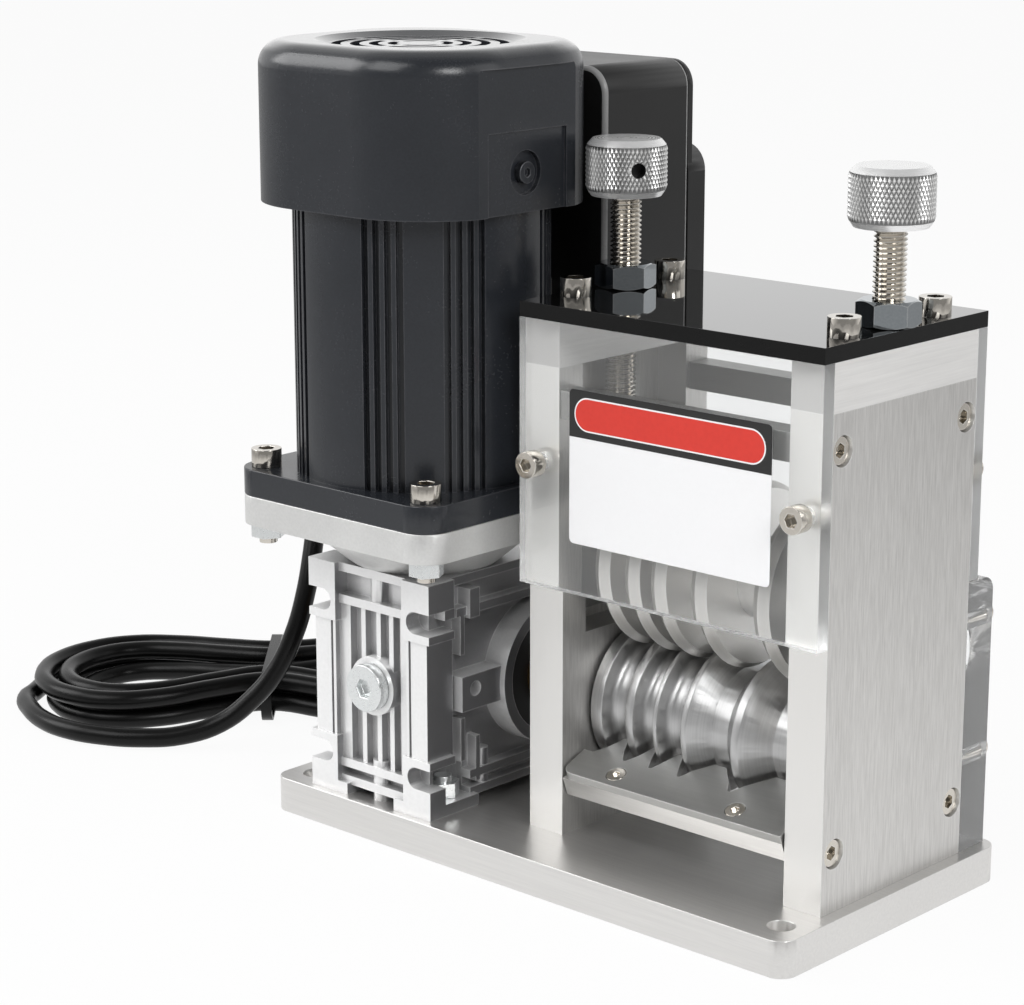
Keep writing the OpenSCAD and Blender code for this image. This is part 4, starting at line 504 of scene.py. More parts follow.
# %% Clear plastic
def clear_plastic(name, tint, polish, frost, ior, clear):
    tint = (*tint, 1)
    plain = {"Base Color": tint, "IOR": ior, "Transmission Weight": clear}
    material, tree, shader = new_material(name, plain)
    broad_faces = mask_of(tree, FACING, Axis=(0, 1, 0))
    tree.links.new(ramp(tree, broad_faces, 0, 1, frost, polish), shader.inputs["Roughness"])
    path = tree.nodes.new("ShaderNodeLightPath").outputs
    straight = math_node(tree, "MAXIMUM", path["Is Shadow Ray"], path["Is Diffuse Ray"])
    open_to_light = add_node(tree, "BsdfTransparent", {"Color": tint}).outputs["BSDF"]
    pick = add_node(
        tree, "MixShader", {"Fac": straight, 1: shader.outputs["BSDF"], 2: open_to_light},
    )
    tree.links.new(pick.outputs["Shader"], tree.nodes["Material Output"].inputs["Surface"])
    return material


clear_guard = clear_plastic("clear_guard", (0.985, 0.99, 0.99), 0.01, 0.65, 1.4, 0.965)
clear_guide = clear_plastic("clear_guide", (0.99, 0.995, 0.995), 0.01, 0.05, 1.49, 0.9)
print("clear plastic mixed")

# %% [markdown]
# ## A finish for every piece
# Each solid of the machine gets one finish. They could be set one by one, but a table shows at a
# glance which pieces share a finish, and the last line names any piece that was forgotten.

# %% A finish for every piece
FINISH_OF = {
    plate_aluminium: ["left_side_plate", "right_side_plate"],
    cap_aluminium: ["cap_bars"],
    base_aluminium: ["base_plate", "comb_bar"],
    comb_aluminium: ["comb_plate"],
    cast_aluminium: ["gearbox_housing", "gearbox_cover"],
    flange_aluminium: ["input_flange"],
    motor_paint: ["motor_flange", "motor_body"],
    cover_paint: ["fan_cover"],
    box_plastic: ["control_box", "control_box_lid"],
    black_plastic: ["switch_frame", "cord_gland", "plug", "cooling_fan"],
    gloss_black: ["top_cover"],
    nickel: [
        "cap_screws", "guard_screws", "side_screws", "flange_bolts", "comb_screws", "left_stud",
        "right_stud",
    ],
    zinc: [
        "flange_nuts", "gearbox_studs", "oil_plug", "gearbox_cover_screws", "run_capacitor",
        "left_knob", "right_knob",
    ],
    polished_zinc: ["lock_nuts"],
    dark_steel: ["cover_screws", "base_screws"],
    bar_steel: ["tie_bars", "bearing_blocks"],
    turned_steel: ["drive_shaft", "feed_roller", "worm_shaft", "motor_rotor", "blade_shaft"],
    blade_steel: ["blade_discs"],
    spacer_steel: ["blade_spacers"],
    bearing_steel: ["roller_bearings", "blade_bearings", "output_bearings", "shaft_bearings"],
    bronze: ["worm_wheel"],
    cord_rubber: ["power_cord", "cord_hank", "cord_tie"],
    seal_rubber: ["output_seals"],
    copper_winding: ["stator"],
    rocker_red: ["switch_rocker"],
    clear_guard: ["front_guard", "rear_guard"],
    clear_guide: ["wire_guide"],
}
for material, names in FINISH_OF.items():
    for name in names:
        mesh = nodes[name].data
        mesh.materials.clear()
        mesh.materials.append(material)
bare = sorted(set(nodes) - {n for names in FINISH_OF.values() for n in names})
print("finishes given:", len(FINISH_OF), "pieces without one:", bare)

# %% [markdown]
# ## Soft edges
# No real edge is perfectly sharp, and a thin line of light along an edge tells the eye that a part is
# solid. A Weld modifier joins the loose triangles of a CAD piece, a Decimate modifier merges those
# that lie flat, and a Bevel modifier then rounds the corners. The meshes themselves stay as they are.
# The clear parts also shrink by a hair, because glass that touches metal face to face traps the light
# between them.

# %% Soft edges
EDGE_ROUNDING = {
    1.5: ["control_box", "plug"],
    0.6: ["base_plate", "motor_flange", "input_flange"],
    0.4: ["left_side_plate", "right_side_plate", "cap_bars", "gearbox_housing", "oil_plug"],
    0.3: [
        "top_cover", "comb_bar", "tie_bars", "cap_screws", "flange_bolts", "guard_screws",
        "flange_nuts", "switch_frame", "control_box_lid", "front_guard", "rear_guard", "wire_guide",
        "switch_rocker", "gearbox_cover",
    ],
    0.2: ["side_screws", "comb_screws", "gearbox_studs", "cover_screws", "feed_roller"],
}
AIR_GAP, WELD_REACH = 0.05, 0.002
FLAT_ANGLE, CORNER_ANGLE = math.radians(0.5), math.radians(40)
BROAD_ROUNDING = 1


def add_weld(piece):
    weld = piece.modifiers.new("join_triangles", "WELD")
    weld.merge_threshold = WELD_REACH * MM
    flat = piece.modifiers.new("flat_faces", "DECIMATE")
    flat.decimate_type = "DISSOLVE"
    flat.angle_limit = FLAT_ANGLE


def soften(piece, width):
    rounding = piece.modifiers.new("soft_edges", "BEVEL")
    rounding.width = width * MM
    rounding.segments = 2 if width < BROAD_ROUNDING else 3
    rounding.limit_method = "ANGLE"
    rounding.angle_limit = CORNER_ANGLE
    rounding.harden_normals = True
    rounding.use_clamp_overlap = width < BROAD_ROUNDING


for name in ("front_guard", "rear_guard", "wire_guide"):
    add_weld(nodes[name])
    shrink = nodes[name].modifiers.new("air_gap", "DISPLACE")
    shrink.strength = -AIR_GAP * MM
    shrink.mid_level = 0
for width, names in EDGE_ROUNDING.items():
    for name in names:
        if not nodes[name].modifiers:
            add_weld(nodes[name])
        soften(nodes[name], width)
# The rounded edges of the control box take the grey finish: a painted highlight.
nodes["control_box"].data.materials.append(box_edge_painted_highlight)
nodes["control_box"].modifiers["soft_edges"].material = 1
print("pieces with soft edges:", sum(len(names) for names in EDGE_ROUNDING.values()))

# %% [markdown]
# ## Knurled knobs
# Each knob is turned from aluminium, and a knurling wheel presses small pyramids into its side, so
# that fingers don't slip. A bump texture would leave the outline smooth, so the pyramids are real: the
# side is spun with many rows, and every second vertex stands out. A hole for a pin goes in at the side.

# %% Knurl
KNURL_COLUMNS, KNURL_ROWS, KNURL_DEPTH = 116, 10, 0.45


def knurl_rows(bm, foot, low_radius, high_radius, first, row_height):
    """Pushes out every second vertex of the spun side and folds the faces into pyramids."""
    low = []
    for vert in bm.verts:
        place = vert.co - foot
        if abs(math.hypot(place.x, place.y) - low_radius) > SAME_PLACE:
            continue
        row = round((place.z - first) / row_height)
        column = round(math.atan2(place.y, place.x) / (2 * math.pi) * KNURL_COLUMNS)
        if 0 < row < KNURL_ROWS and (row + column) % 2 == 0:
            vert.co += Vector((place.x, place.y, 0)).normalized() * (high_radius - low_radius)
        else:
            low.append(vert)
    bmesh.ops.connect_verts(bm, verts=low)


# %% Pin hole
PIN_HOLE_R, PIN_HOLE_DEPTH, PIN_HOLE_SINK, PIN_HOLE_WINDOW = 2.4, 5.0, 0.4, 1.35
ROUND_STEPS, HOLE_LINING = 32, 2


def round_hole(bm, radius, place):
    """The edges of a new circle."""
    ring = bmesh.ops.create_circle(bm, segments=ROUND_STEPS, radius=radius * MM, matrix=place)["verts"]
    return list({edge for vert in ring for edge in vert.link_edges})


def drill_pin_hole(bm, middle, way, radius):
    """Opens the side of a knob around a point and lines the hole with a round wall."""
    window = PIN_HOLE_R * MM * PIN_HOLE_WINDOW
    centre = middle + way * radius
    opened = []
    for face in bm.faces:
        away = face.calc_center_median() - centre
        across = away - way * away.dot(way)
        if away.dot(way) > -radius / 2 and across.length < window:
            opened.append(face)
    bmesh.ops.delete(bm, geom=opened, context="FACES")
    rim = [edge for edge in bm.edges if edge.is_boundary]
    looks_out = way.to_track_quat("Z", "Y").to_matrix().to_4x4()
    sunk = Matrix.Translation(centre - way * PIN_HOLE_SINK * MM)
    mouth = round_hole(bm, PIN_HOLE_R, sunk @ looks_out)
    bmesh.ops.bridge_loops(bm, edges=rim + mouth)
    wall = bmesh.ops.extrude_edge_only(bm, edges=mouth)["geom"]
    inner = [item for item in wall if isinstance(item, bmesh.types.BMVert)]
    bmesh.ops.translate(bm, verts=inner, vec=-way * PIN_HOLE_DEPTH * MM)
    end = [item for item in wall if isinstance(item, bmesh.types.BMEdge) and item.is_boundary]
    floor_faces = bmesh.ops.contextual_create(bm, geom=end)["faces"]
    for face in floor_faces + [item for item in wall if isinstance(item, bmesh.types.BMFace)]:
        face.material_index = HOLE_LINING


# %% Finish of a knob
# Painted shade between the knurl pyramids
VALLEY_PAINTED_SHADE = (0.26, 0.26, 0.26)


def paint_valley_shade(material, foot, low_radius, high_radius):
    """Paints shade into the ground between the pyramids, darkest at their feet."""
    tree = material.node_tree
    socket = tree.nodes["Principled BSDF"].inputs["Base Color"]
    crest = socket.links[0].from_socket
    feeds = {"Vector": place_on_piece(tree), "Location": (-foot.x, -foot.y, 0), "Scale": (1, 1, 0)}
    from_axis = length_of(tree, add_node(tree, "Mapping", feeds).outputs["Vector"])
    rise = ramp(tree, from_axis, low_radius, high_radius, 0, 1)
    tree.links.new(blend_colour(tree, rise, VALLEY_PAINTED_SHADE, crest), socket)


def knob_finishes(name, foot, low_radius, high_radius):
    """The turned ends, the pressed side and the lining of the pin hole."""
    turned = finish(
        name + "_turned", (0.80, 0.80, 0.80), (1.0, 1.0, 1.0), 0.55, (0.22, 0.34), LATHE_RINGS,
        1800, (1, 1, 0), foot, bump=0.1, wear_and_painted_highlight=(0.95, 0.95, 0.95),
    )
    pressed = finish(
        name + "_pressed", (0.86, 0.86, 0.85), (0.98, 0.98, 0.97), 0.9, (0.3, 0.42), CAST_GRAIN,
        1800, bump=0.05,
    )
    paint_valley_shade(pressed, foot, low_radius, high_radius)
    return [turned, pressed, black_plastic]


# %% Knobs
KNOB_RIM, KNOB_RIM_INSET = 1.9, 1.7
KNOB_TOP_DROP, KNOB_TOP_INSET = 0.4, 0.5


def middle_foot(low, high):
    """The middle of the underside of a box."""
    return Vector(((low.x + high.x) / 2, (low.y + high.y) / 2, low.z))


def knurled_knob(name, node, body, hole_turn):
    low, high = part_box(node)
    foot = middle_foot(low, high)
    radius, tall = (high.x - low.x) / 2, high.z - low.z
    rim, inset, depth = KNOB_RIM * MM, KNOB_RIM_INSET * MM, KNURL_DEPTH * MM
    row_height = (tall - 2 * rim) / KNURL_ROWS
    side = [(rim + row * row_height, radius - depth) for row in range(KNURL_ROWS + 1)]
    shoulder = radius - inset
    top = [(tall - KNOB_TOP_DROP * MM, shoulder), (tall, shoulder - KNOB_TOP_INSET * MM), (tall, 0)]
    bm = bmesh.new()
    lathe(bm, [(0, 0), (0, shoulder)] + side + top, foot, KNURL_COLUMNS)
    bmesh.ops.remove_doubles(bm, verts=bm.verts, dist=SAME_PLACE / 10)
    knurl_rows(bm, foot, radius - depth, radius, rim, row_height)
    for face in bm.faces:
        face.material_index = int(rim < face.calc_center_median().z - foot.z < tall - rim)
    way = Vector((math.cos(math.radians(hole_turn)), math.sin(math.radians(hole_turn)), 0))
    drill_pin_hole(bm, foot + Vector((0, 0, tall / 2)), way, radius)
    finishes = knob_finishes(name, foot, radius - depth, radius)
    return place_piece(name, bm, body, finishes, (node,), sharp=24)


knurled_knob("left_knurled_knob", "left_knob", "left_adjuster", -32)
knurled_knob("right_knurled_knob", "right_knob", "right_adjuster", 150)

# %% [markdown]
# ## Threaded studs
# The knobs turn on M10 studs with a pitch of 1.5 mm. A bump would draw rings, not a thread, and would
# leave the outline smooth. A real thread is one small profile, a pitch high, that spins round the axis
# and climbs with every step. The top of one turn then meets the foot of the next.

# %% Threaded studs
THREAD_PITCH, THREAD_STEPS = 1.5, 28
THREAD_DEPTH = 0.55 * THREAD_PITCH


def threaded_stud(name, node, body):
    low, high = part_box(node)
    axis_place = middle_foot(low, high)
    outer, pitch = (high.x - low.x) / 2, THREAD_PITCH * MM
    root = outer - THREAD_DEPTH * MM
    # Each point of the profile: its part of the pitch and its radius
    flank = [(0, root), (0.40, outer), (0.58, outer), (0.98, root), (1, root)]
    bm = bmesh.new()
    made = [bm.verts.new(axis_place + Vector((radius, 0, part * pitch))) for part, radius in flank]
    chain = [bm.edges.new(pair) for pair in zip(made, made[1:])]
    turns = int((high.z - low.z) / pitch) - 1
    bmesh.ops.spin(
        bm, geom=made + chain, cent=axis_place, axis=(0, 0, 1), dvec=(0, 0, pitch / THREAD_STEPS),
        angle=2 * math.pi * turns, steps=turns * THREAD_STEPS,
    )
    bmesh.ops.remove_doubles(bm, verts=bm.verts, dist=SAME_PLACE)
    bmesh.ops.holes_fill(bm, edges=[edge for edge in bm.edges if edge.is_boundary], sides=0)
    return place_piece(name, bm, body, [nickel], (node,))


threaded_stud("left_threaded_stud", "left_stud", "left_adjuster")
threaded_stud("right_threaded_stud", "right_stud", "right_adjuster")

# %% [markdown]
# ## Lock nuts
# A hexagon nut has a cone turned on both ends, so each flat ends in an arc. A plain prism with six
# sides lacks these arcs. A spun disc gives the round ends, and the outer vertices then move out to the
# six flats. Where a corner stands further out, the cone comes down further, and that draws the arcs.

# %% Lock nuts
NUT_STEPS, NUT_CONE = 72, math.tan(math.radians(30))
NUT_TURNS = {"left_stud": 16.8, "right_stud": 9.5}
NUT_ROUND_SHARE, NUT_STEP_OUT, NUT_PLAY = 0.96, 1.02, 0.06
nut_low, nut_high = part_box("lock_nuts")
nut_tall = nut_high.z - nut_low.z
nut_flat = (nut_high.y - nut_low.y) / 2
nut_round = nut_flat * NUT_ROUND_SHARE


def push_to_flats(verts, foot):
    """Moves the outer vertices of a spun disc out to six flats, and down its cones."""
    for vert in verts:
        place = vert.co - foot
        if math.hypot(place.x, place.y) < nut_round * (1 + NUT_STEP_OUT) / 2:
            continue
        angle = math.atan2(place.y, place.x)
        off_flat = (angle + math.pi / 6) % (math.pi / 3) - math.pi / 6
        out = nut_flat / math.cos(off_flat)
        drop = (out - nut_round) * NUT_CONE
        height = drop if place.z < nut_tall / 2 else nut_tall - drop
        vert.co = foot + Vector((out * math.cos(angle), out * math.sin(angle), height))


bm = bmesh.new()
for stud, turn_by in NUT_TURNS.items():
    stud_low, stud_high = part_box(stud)
    bore = (stud_high.x - stud_low.x) / 2 + NUT_PLAY * MM
    foot = middle_foot(stud_low, stud_high)
    foot.z = nut_low.z
    known = set(bm.verts)
    edge = nut_round * NUT_STEP_OUT
    section = [(0, bore), (0, nut_round), (MM, edge), (nut_tall - MM, edge)]
    lathe(bm, section + [(nut_tall, nut_round), (nut_tall, bore), (0, bore)], foot, NUT_STEPS)
    made = [vert for vert in bm.verts if vert not in known]
    push_to_flats(made, foot)
    spin_by = Matrix.Rotation(math.radians(turn_by), 3, "Z")
    bmesh.ops.rotate(bm, verts=made, cent=foot, matrix=spin_by)
place_piece("coned_lock_nuts", bm, "frame", [polished_zinc], ("lock_nuts",), sharp=20)

# %% [markdown]
# ## Comb
# A toothed plate under the roller keeps stripped insulation from being drawn in. Notches could be cut
# from a slab one by one, but cuts leave ragged faces. So its outline is drawn flat, with one tooth for
# each groove of the roller, and filled around the screw holes. The face is then extruded to the
# thickness of the plate and tilted into place.

# %% Outline of the comb
COMB_LONG, COMB_NOTCH, COMB_ROOT = 88.3, 12.3, 16.3
COMB_CORNER, COMB_CORNER_STEPS, COMB_RIDGE_HALF = 4, 6, 0.5
# Each tooth: its middle, half its tip, half its root, its reach, and the ridges beside it
COMB_TEETH = [
    (10.4, 0.9, 3.4, 21.83, 3.4, 16.9), (22.6, 0.5, 2.6, 21.83, 16.9, 27.5),
    (33.2, 0.9, 3.4, 21.83, 27.5, 39.2), (49.2, 2.3, 7.4, 21.83, 39.2, 59.6),
    (73.2, 3.6, 10.6, 23.85, 59.6, 86.6),
]
outline = [(COMB_LONG, 0), (COMB_LONG, COMB_NOTCH)]
for middle, tip, root, reach, ridge_left, ridge_right in reversed(COMB_TEETH):
    outline += [(ridge_right - COMB_RIDGE_HALF, COMB_NOTCH), (middle + root, COMB_ROOT)]
    outline += [(middle + tip, reach), (middle - tip, reach)]
    outline += [(middle - root, COMB_ROOT), (ridge_left + COMB_RIDGE_HALF, COMB_NOTCH)]
outline += [(0, COMB_NOTCH)]
for step in range(COMB_CORNER_STEPS + 1):
    bend = math.radians(180 + 90 * step / COMB_CORNER_STEPS)
    across, deep = COMB_CORNER * math.cos(bend), COMB_CORNER * math.sin(bend)
    outline.append((COMB_CORNER + across, COMB_CORNER + deep))
print("comb outline:", len(outline), "corners")

# %% Comb
COMB_SLOPE, COMB_THICK, COMB_EDGE = math.radians(21), 3.0, 0.25
COMB_HOLES, COMB_HOLE_DEEP, COMB_HOLE_R = (19, 67), 5.5, 3.4
bm = bmesh.new()
corners = [bm.verts.new((x * MM, deep * MM, 0)) for x, deep in outline]
rim = [bm.edges.new(pair) for pair in zip(corners, corners[1:] + corners[:1])]
for x in COMB_HOLES:
    rim += round_hole(bm, COMB_HOLE_R, Matrix.Translation((x * MM, COMB_HOLE_DEEP * MM, 0)))
filled = bmesh.ops.triangle_fill(bm, edges=rim, use_beauty=True)["geom"]
face_up = [item for item in filled if isinstance(item, bmesh.types.BMFace)]
below = bmesh.ops.extrude_face_region(bm, geom=face_up, use_keep_orig=True)["geom"]
under = [item for item in below if isinstance(item, bmesh.types.BMVert)]
bmesh.ops.translate(bm, verts=under, vec=(0, 0, -COMB_THICK * MM))
comb_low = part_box("comb_plate")[0]
comb_edge = Vector((comb_low.x, comb_low.y, comb_low.z + COMB_THICK * MM * math.cos(COMB_SLOPE)))
tilted = Matrix.Translation(comb_edge) @ Matrix.Rotation(COMB_SLOPE, 4, "X")
bmesh.ops.transform(bm, matrix=tilted, verts=bm.verts)
comb = place_piece(
    "toothed_comb", bm, "frame", [comb_aluminium], ("comb_plate",), sharp=30,
)
soften(comb, COMB_EDGE)

# %% [markdown]
# ## Plain plate on the guard
# A thin plate is stuck to the middle of the front guard: a white field under a dark band, with a red
# stripe in a white border. A texture could draw it on the guard, but the guard is clear. Thin slabs
# with round corners lie one on the other instead, each a hair further out.

# %% Plain plate on the guard
PLATE_LEFT, PLATE_RIGHT, PLATE_LOW, PLATE_HIGH = 9.2, 87.6, 112.2, 161.2
BAND_HEIGHT, STRIPE_INSET, BORDER_WIDTH = 15.0, 2.6, 0.5
PLATE_CORNER, PLATE_THICK, PLATE_LAYER = 1.6, 0.24, 0.06
CORNER_PLAY, CORNER_STEPS = 0.05, 8
guard_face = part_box("front_guard")[0].y / MM


def thin_slab(name, left, right, low, high, layer, corner, material, square_foot=False):
    """A slab on the guard whose corners are rounded, all four or the upper two."""
    bm = bmesh.new()
    size = Vector((right - left, PLATE_THICK, high - low))
    place = Vector(((left + right) / 2, guard_face - PLATE_THICK / 2 - layer, (low + high) / 2))
    shape = Matrix.Translation(place * MM) @ Matrix.Diagonal((*(size * MM), 1))
    bmesh.ops.create_cube(bm, size=1, matrix=shape)
    across = [e for e in bm.edges if abs(e.verts[0].co.y - e.verts[1].co.y) > PLATE_THICK * MM / 2]
    if square_foot:
        across = [e for e in across if e.verts[0].co.z > place.z * MM]
    bmesh.ops.bevel(
        bm, geom=across, offset=corner * MM, segments=CORNER_STEPS, profile=0.5, affect="EDGES",
        material=-1,
    )
    return place_piece(name, bm, "frame", [material])


thin_slab(
    "guard_plate", PLATE_LEFT, PLATE_RIGHT, PLATE_LOW, PLATE_HIGH, 0, PLATE_CORNER, plate_white,
)
thin_slab(
    "guard_plate_band", PLATE_LEFT, PLATE_RIGHT, PLATE_HIGH - BAND_HEIGHT, PLATE_HIGH, PLATE_LAYER,
    PLATE_CORNER, band_black, True,
)
STRIPES = [
    ("guard_plate_border", STRIPE_INSET - BORDER_WIDTH, plate_white, "plate_aluminium"),
    ("guard_plate_stripe", STRIPE_INSET, stripe_red, "rocker_red"),
]
for order, (name, inset, material, slot_name) in enumerate(STRIPES):
    thin_slab(
        name, PLATE_LEFT + inset, PLATE_RIGHT - inset, PLATE_HIGH - BAND_HEIGHT + inset,
        PLATE_HIGH - inset, (2 + order) * PLATE_LAYER, BAND_HEIGHT / 2 - inset - CORNER_PLAY,
        material,
    )

# %% [markdown]
# ## Mains cord
# The cord leaves the control box through a tapered sleeve, drops to the bench and runs into a hank of
# loops that a band holds at its waist. It could be a row of cylinders, but their joints would show. A
# Bezier curve with automatic handles keeps the bends soft. The loops are worked out as the CAD model
# does it, so that the curve lies where the solids are.

# %% Hank
CORD_D = 7.2
CORD_R = CORD_D / 2
HANK_HALF_L, HANK_HALF_W = 92, 42
HANK_STEP, HANK_RISE, HANK_CLIMB_EARLY, HANK_CLIMB_PACE = 9, 8, 0.25, 2
HANK_PLACE = Vector((-198, 24, 0))
HANK_TURN = math.radians(43)
HANK_TURNS, HANK_REVERSE, HANK_RINGS = 4.34, 2.25, 24
HANK_PINCH, HANK_PINCH_L, HANK_FOLD, HANK_LIFT = 17, 30, 0.29, 2
HANK_RUN = HANK_HALF_L - HANK_HALF_W
HANK_ALONG = Vector((math.cos(HANK_TURN), math.sin(HANK_TURN), 0))
HANK_ACROSS = Vector((math.sin(HANK_TURN), -math.cos(HANK_TURN), 0))


def ease(x):
    x = min(1, max(0, x))
    return x * x * (3 - 2 * x)


def hank_fold_at(part):
    """Turn of the fold in degrees, and the place of its middle, after a part of one loop."""
    half = HANK_FOLD / 2
    if part < half:
        return 180 + 180 * part / HANK_FOLD, -HANK_RUN
    if part < 0.5 - half:
        return 270, -HANK_RUN + 2 * HANK_RUN * (part - half) / (0.5 - HANK_FOLD)
    if part < 0.5 + half:
        return 360 + 180 * (part - 0.5) / HANK_FOLD, HANK_RUN
    if part < 1 - half:
        return 90, HANK_RUN - 2 * HANK_RUN * (part - 0.5 - half) / (0.5 - HANK_FOLD)
    return 180 + 180 * (part - 1) / HANK_FOLD, -HANK_RUN


def hank_point(turns):
    angle, middle = hank_fold_at(turns - math.floor(turns))
    angle = math.radians(angle)
    wound = turns if turns < HANK_REVERSE else 2 * HANK_REVERSE - turns
    radius = HANK_HALF_W - HANK_STEP * wound
    along = middle + radius * math.cos(angle)
    squeeze = math.exp(-((along / HANK_PINCH_L) ** 2))
    across = math.sin(angle) * (radius - HANK_PINCH * squeeze)
    climb = ease((turns - HANK_REVERSE + HANK_CLIMB_EARLY) * HANK_CLIMB_PACE)
    height = CORD_R + HANK_RISE * climb + HANK_LIFT * squeeze
    return HANK_PLACE + HANK_ALONG * along + HANK_ACROSS * across + Vector((0, 0, height))


# %% Route of the cord
LEAD_ROUTE = [
    (-146, 39, 138), (-155, 34, 131), (-160, 28, 118), (-161, 21, 102), (-159, 13, 86),
    (-155, 6, 71), (-153, 0, 56), (-154, -5, 42), (-158, -10, 29), (-164, -17, 18), (-172, -26, 9),
    (-181, -37, 5), (-192, -47, 4), (-205, -55, 4), (-220, -59, 4), (-235, -58, 4), (-249, -53, 4),
]
TAIL_ROUTE = [(-176, 102, 11), (-169, 116, 9), (-168, 131, 6), (-175, 144, 6)]
PLUG_PLACE = Vector((-198, 158, 8.7))
PLUG_TURN = math.radians(145)
PLUG_WAY = Vector((math.cos(PLUG_TURN), math.sin(PLUG_TURN), 0))

gland_low, gland_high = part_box("cord_gland")
cord_exit = Vector((gland_low.x, (gland_low.y + gland_high.y) / 2, (gland_low.z + gland_high.z) / 2))
hank = [hank_point(i / HANK_RINGS) for i in range(int(HANK_TURNS * HANK_RINGS) + 1)]
start_way = (hank[1] - hank[0]).normalized()
end_way = (hank[-1] - hank[-2]).normalized()
route = [cord_exit / MM, cord_exit / MM - Vector((CORD_D, 0, 0))]
route += [Vector(p) for p in LEAD_ROUTE] + [hank[0] - start_way * CORD_D]
route += hank + [hank[-1] + end_way * CORD_D]
route += [Vector(p) for p in TAIL_ROUTE] + [PLUG_PLACE - PLUG_WAY * CORD_D, PLUG_PLACE]


# %% Mains cord
CORD_FACETS = 5


def cord_curve(name, points, radius, material):
    data = bpy.data.curves.new(name, "CURVE")
    data.dimensions = "3D"
    data.bevel_depth = radius
    data.bevel_resolution = data.resolution_u = CORD_FACETS
    data.use_fill_caps = True
    spline = data.splines.new("BEZIER")
    spline.bezier_points.add(len(points) - 1)
    for knot, point in zip(spline.bezier_points, points):
        knot.co = point
        knot.handle_left_type = knot.handle_right_type = "AUTO"
    data.materials.append(material)
    piece = bpy.data.objects.new(name, data)
    bpy.context.scene.collection.objects.link(piece)
    return piece


mains_cord = cord_curve("mains_cord", [p * MM for p in route], CORD_R * MM, cord_rubber)
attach(mains_cord, "frame")
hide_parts("power_cord", "cord_hank")
print("made mains_cord with", len(route), "points")

# %% [markdown]
# ## Floor
# The machine stands on a pale, plain floor. More light on the machine could make the floor white, but
# it would wash out the metal. So the floor shows white to the camera and through clear plastic, by
# the kind of ray that meets it, and still takes the shadow of the machine. Mirrors see it white near
# the machine and dimmer further off.


# %% Kinds of ray
SEEN_RAYS = ["Is Camera Ray", "Is Glossy Ray", "Is Transmission Ray"]


def ray_kinds(tree, kinds, value=0):
    """1 for the kinds of ray that are named, and the given value for the others."""
    path = tree.nodes.new("ShaderNodeLightPath").outputs
    for kind in kinds:
        value = math_node(tree, "MAXIMUM", path[kind], value)
    return value


# %% Floor
FLOOR_SIZE, FLOOR_WHITE_SHARE = 6, 0.94
FLOOR_NEAR, FLOOR_FAR, FLOOR_FAR_SHARE = 0.2, 1.0, 0.45
floor_bm = bmesh.new()
bmesh.ops.create_grid(floor_bm, x_segments=1, y_segments=1, size=FLOOR_SIZE)
floor_mesh = bpy.data.meshes.new("floor")
floor_bm.to_mesh(floor_mesh)
floor_bm.free()
floor = bpy.data.objects.new("floor", floor_mesh)
bpy.context.scene.collection.objects.link(floor)
floor_paint, tree, matt = new_material(
    "floor_paint", {"Base Color": (0.92, 0.92, 0.92, 1), "Roughness": 0.9},
)
from_machine = length_of(tree, place_on_piece(tree))
fall = ramp(tree, from_machine, FLOOR_NEAR, FLOOR_FAR, 1.0, FLOOR_FAR_SHARE)
bright = ray_kinds(tree, ["Is Camera Ray", "Is Transmission Ray"], fall)
glow = add_node(tree, "Emission", {"Strength": bright}).outputs["Emission"]
white_share = math_node(tree, "MULTIPLY", ray_kinds(tree, SEEN_RAYS), FLOOR_WHITE_SHARE)
floor_mix = add_node(tree, "MixShader", {"Fac": white_share, 1: matt.outputs["BSDF"], 2: glow})
tree.links.new(floor_mix.outputs["Shader"], tree.nodes["Material Output"].inputs["Surface"])
floor_mesh.materials.append(floor_paint)
print("floor laid:", 2 * FLOOR_SIZE, "m wide")

# %% [markdown]
# ## Sky
# A studio has white paper behind the object and a darker room in front. Metal mirrors both, and that
# contrast is what makes it look like metal. The sky is therefore white at the horizon behind the
# machine, and darker overhead and behind the camera. Panels of paper would do too, but cost shadows.

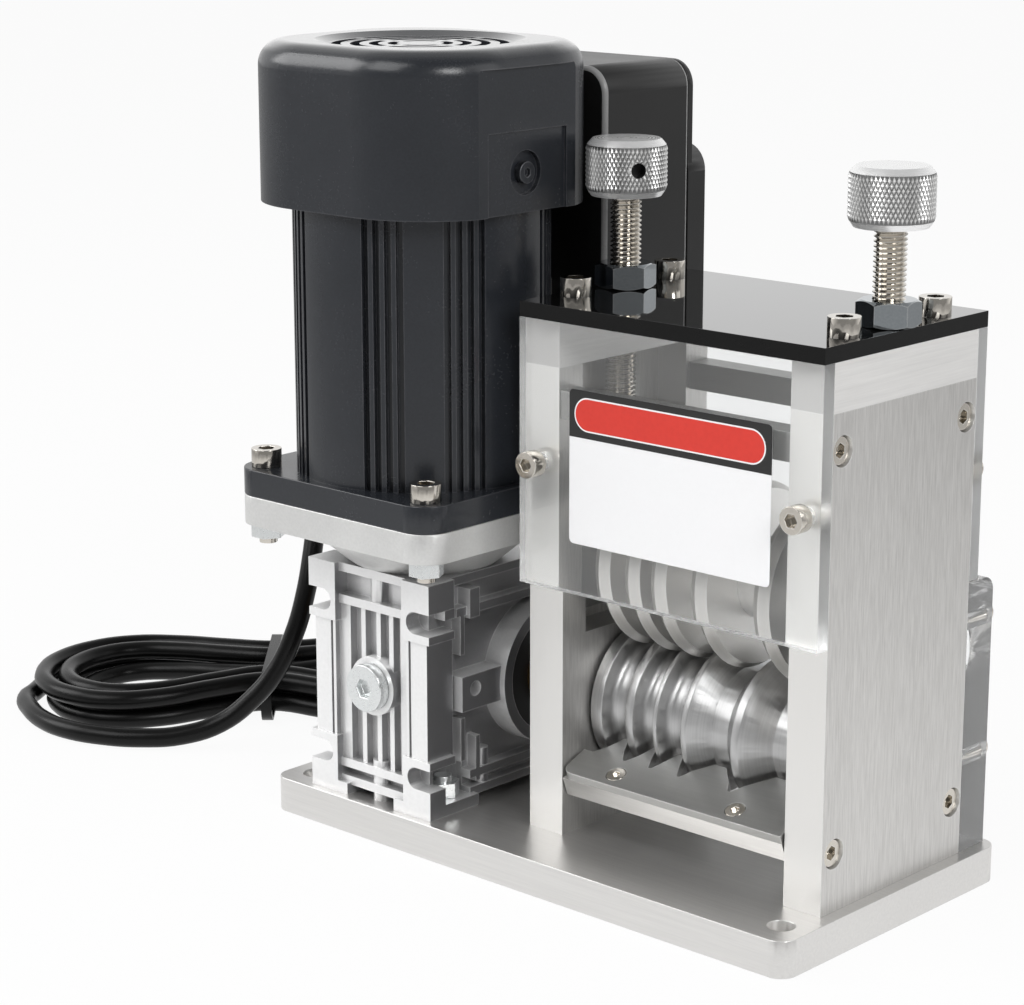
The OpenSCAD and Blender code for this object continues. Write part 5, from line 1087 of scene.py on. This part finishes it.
# %% Sky
SKY_LIT, SKY_SEEN, SKY_TOP_SHARE, SKY_FRONT_SHARE = 0.68, 1.0, 0.4, 0.3
SKY_DARKENS, SKY_DARK = 0.35, 0.8
FRONT_DARK, FRONT_LIT = -0.5, 0.3
BACKDROP_WAY = (-0.68, 0.73, 0)
sky = bpy.data.worlds.new("studio_sky")
bpy.context.scene.world = sky
sky.use_nodes = True
tree = sky.node_tree
dome = tree.nodes["Background"]
dome.inputs["Color"].default_value = (1, 1, 1, 1)
way_seen = tree.nodes.new("ShaderNodeTexCoord").outputs["Generated"]
upward = add_node(tree, "SeparateXYZ", {"Vector": way_seen}).outputs["Z"]
height_tone = ramp(tree, upward, SKY_DARKENS, SKY_DARK, 1.0, SKY_TOP_SHARE)
behind = dot_product(tree, way_seen, BACKDROP_WAY)
side_tone = ramp(tree, behind, FRONT_DARK, FRONT_LIT, SKY_FRONT_SHARE, 1.0)
level = ramp(tree, ray_kinds(tree, SEEN_RAYS), 0, 1, SKY_LIT, SKY_SEEN)
tone = math_node(tree, "MULTIPLY", height_tone, side_tone)
tree.links.new(math_node(tree, "MULTIPLY", level, tone), dome.inputs["Strength"])
print("sky lit at", SKY_LIT, "and seen at", SKY_SEEN)

# %% [markdown]
# ## Lamps
# Soft boxes stand to the left, to the right and in front of the machine, as in a product studio. Point
# lamps would give hard spots on metal, and large area lamps give broad, calm highlights.

# %% Lamps
LAMP_TARGET = Vector((0, 0, 0.12))
# Each lamp: its place, the side of its square and its power in watts
LAMPS = {
    "left_lamp": ((-1.3, -0.8, 1.0), 0.9, 11),
    "right_lamp": ((1.3, 0.5, 1.0), 0.9, 3),
    "front_lamp": ((-0.3, -1.3, 1.4), 1.0, 11),
    "near_lamp": ((1.2, -0.54, 0.9), 0.5, 8),
}
for name, (place, size, power) in LAMPS.items():
    data = bpy.data.lights.new(name, "AREA")
    data.shape, data.size, data.energy = "SQUARE", size, power
    lamp = bpy.data.objects.new(name, data)
    turn = (LAMP_TARGET - Vector(place)).to_track_quat("-Z", "Y").to_matrix().to_4x4()
    lamp.matrix_world = Matrix.Translation(place) @ turn
    bpy.context.scene.collection.objects.link(lamp)
print("lamps lit:", len(bpy.data.lights))
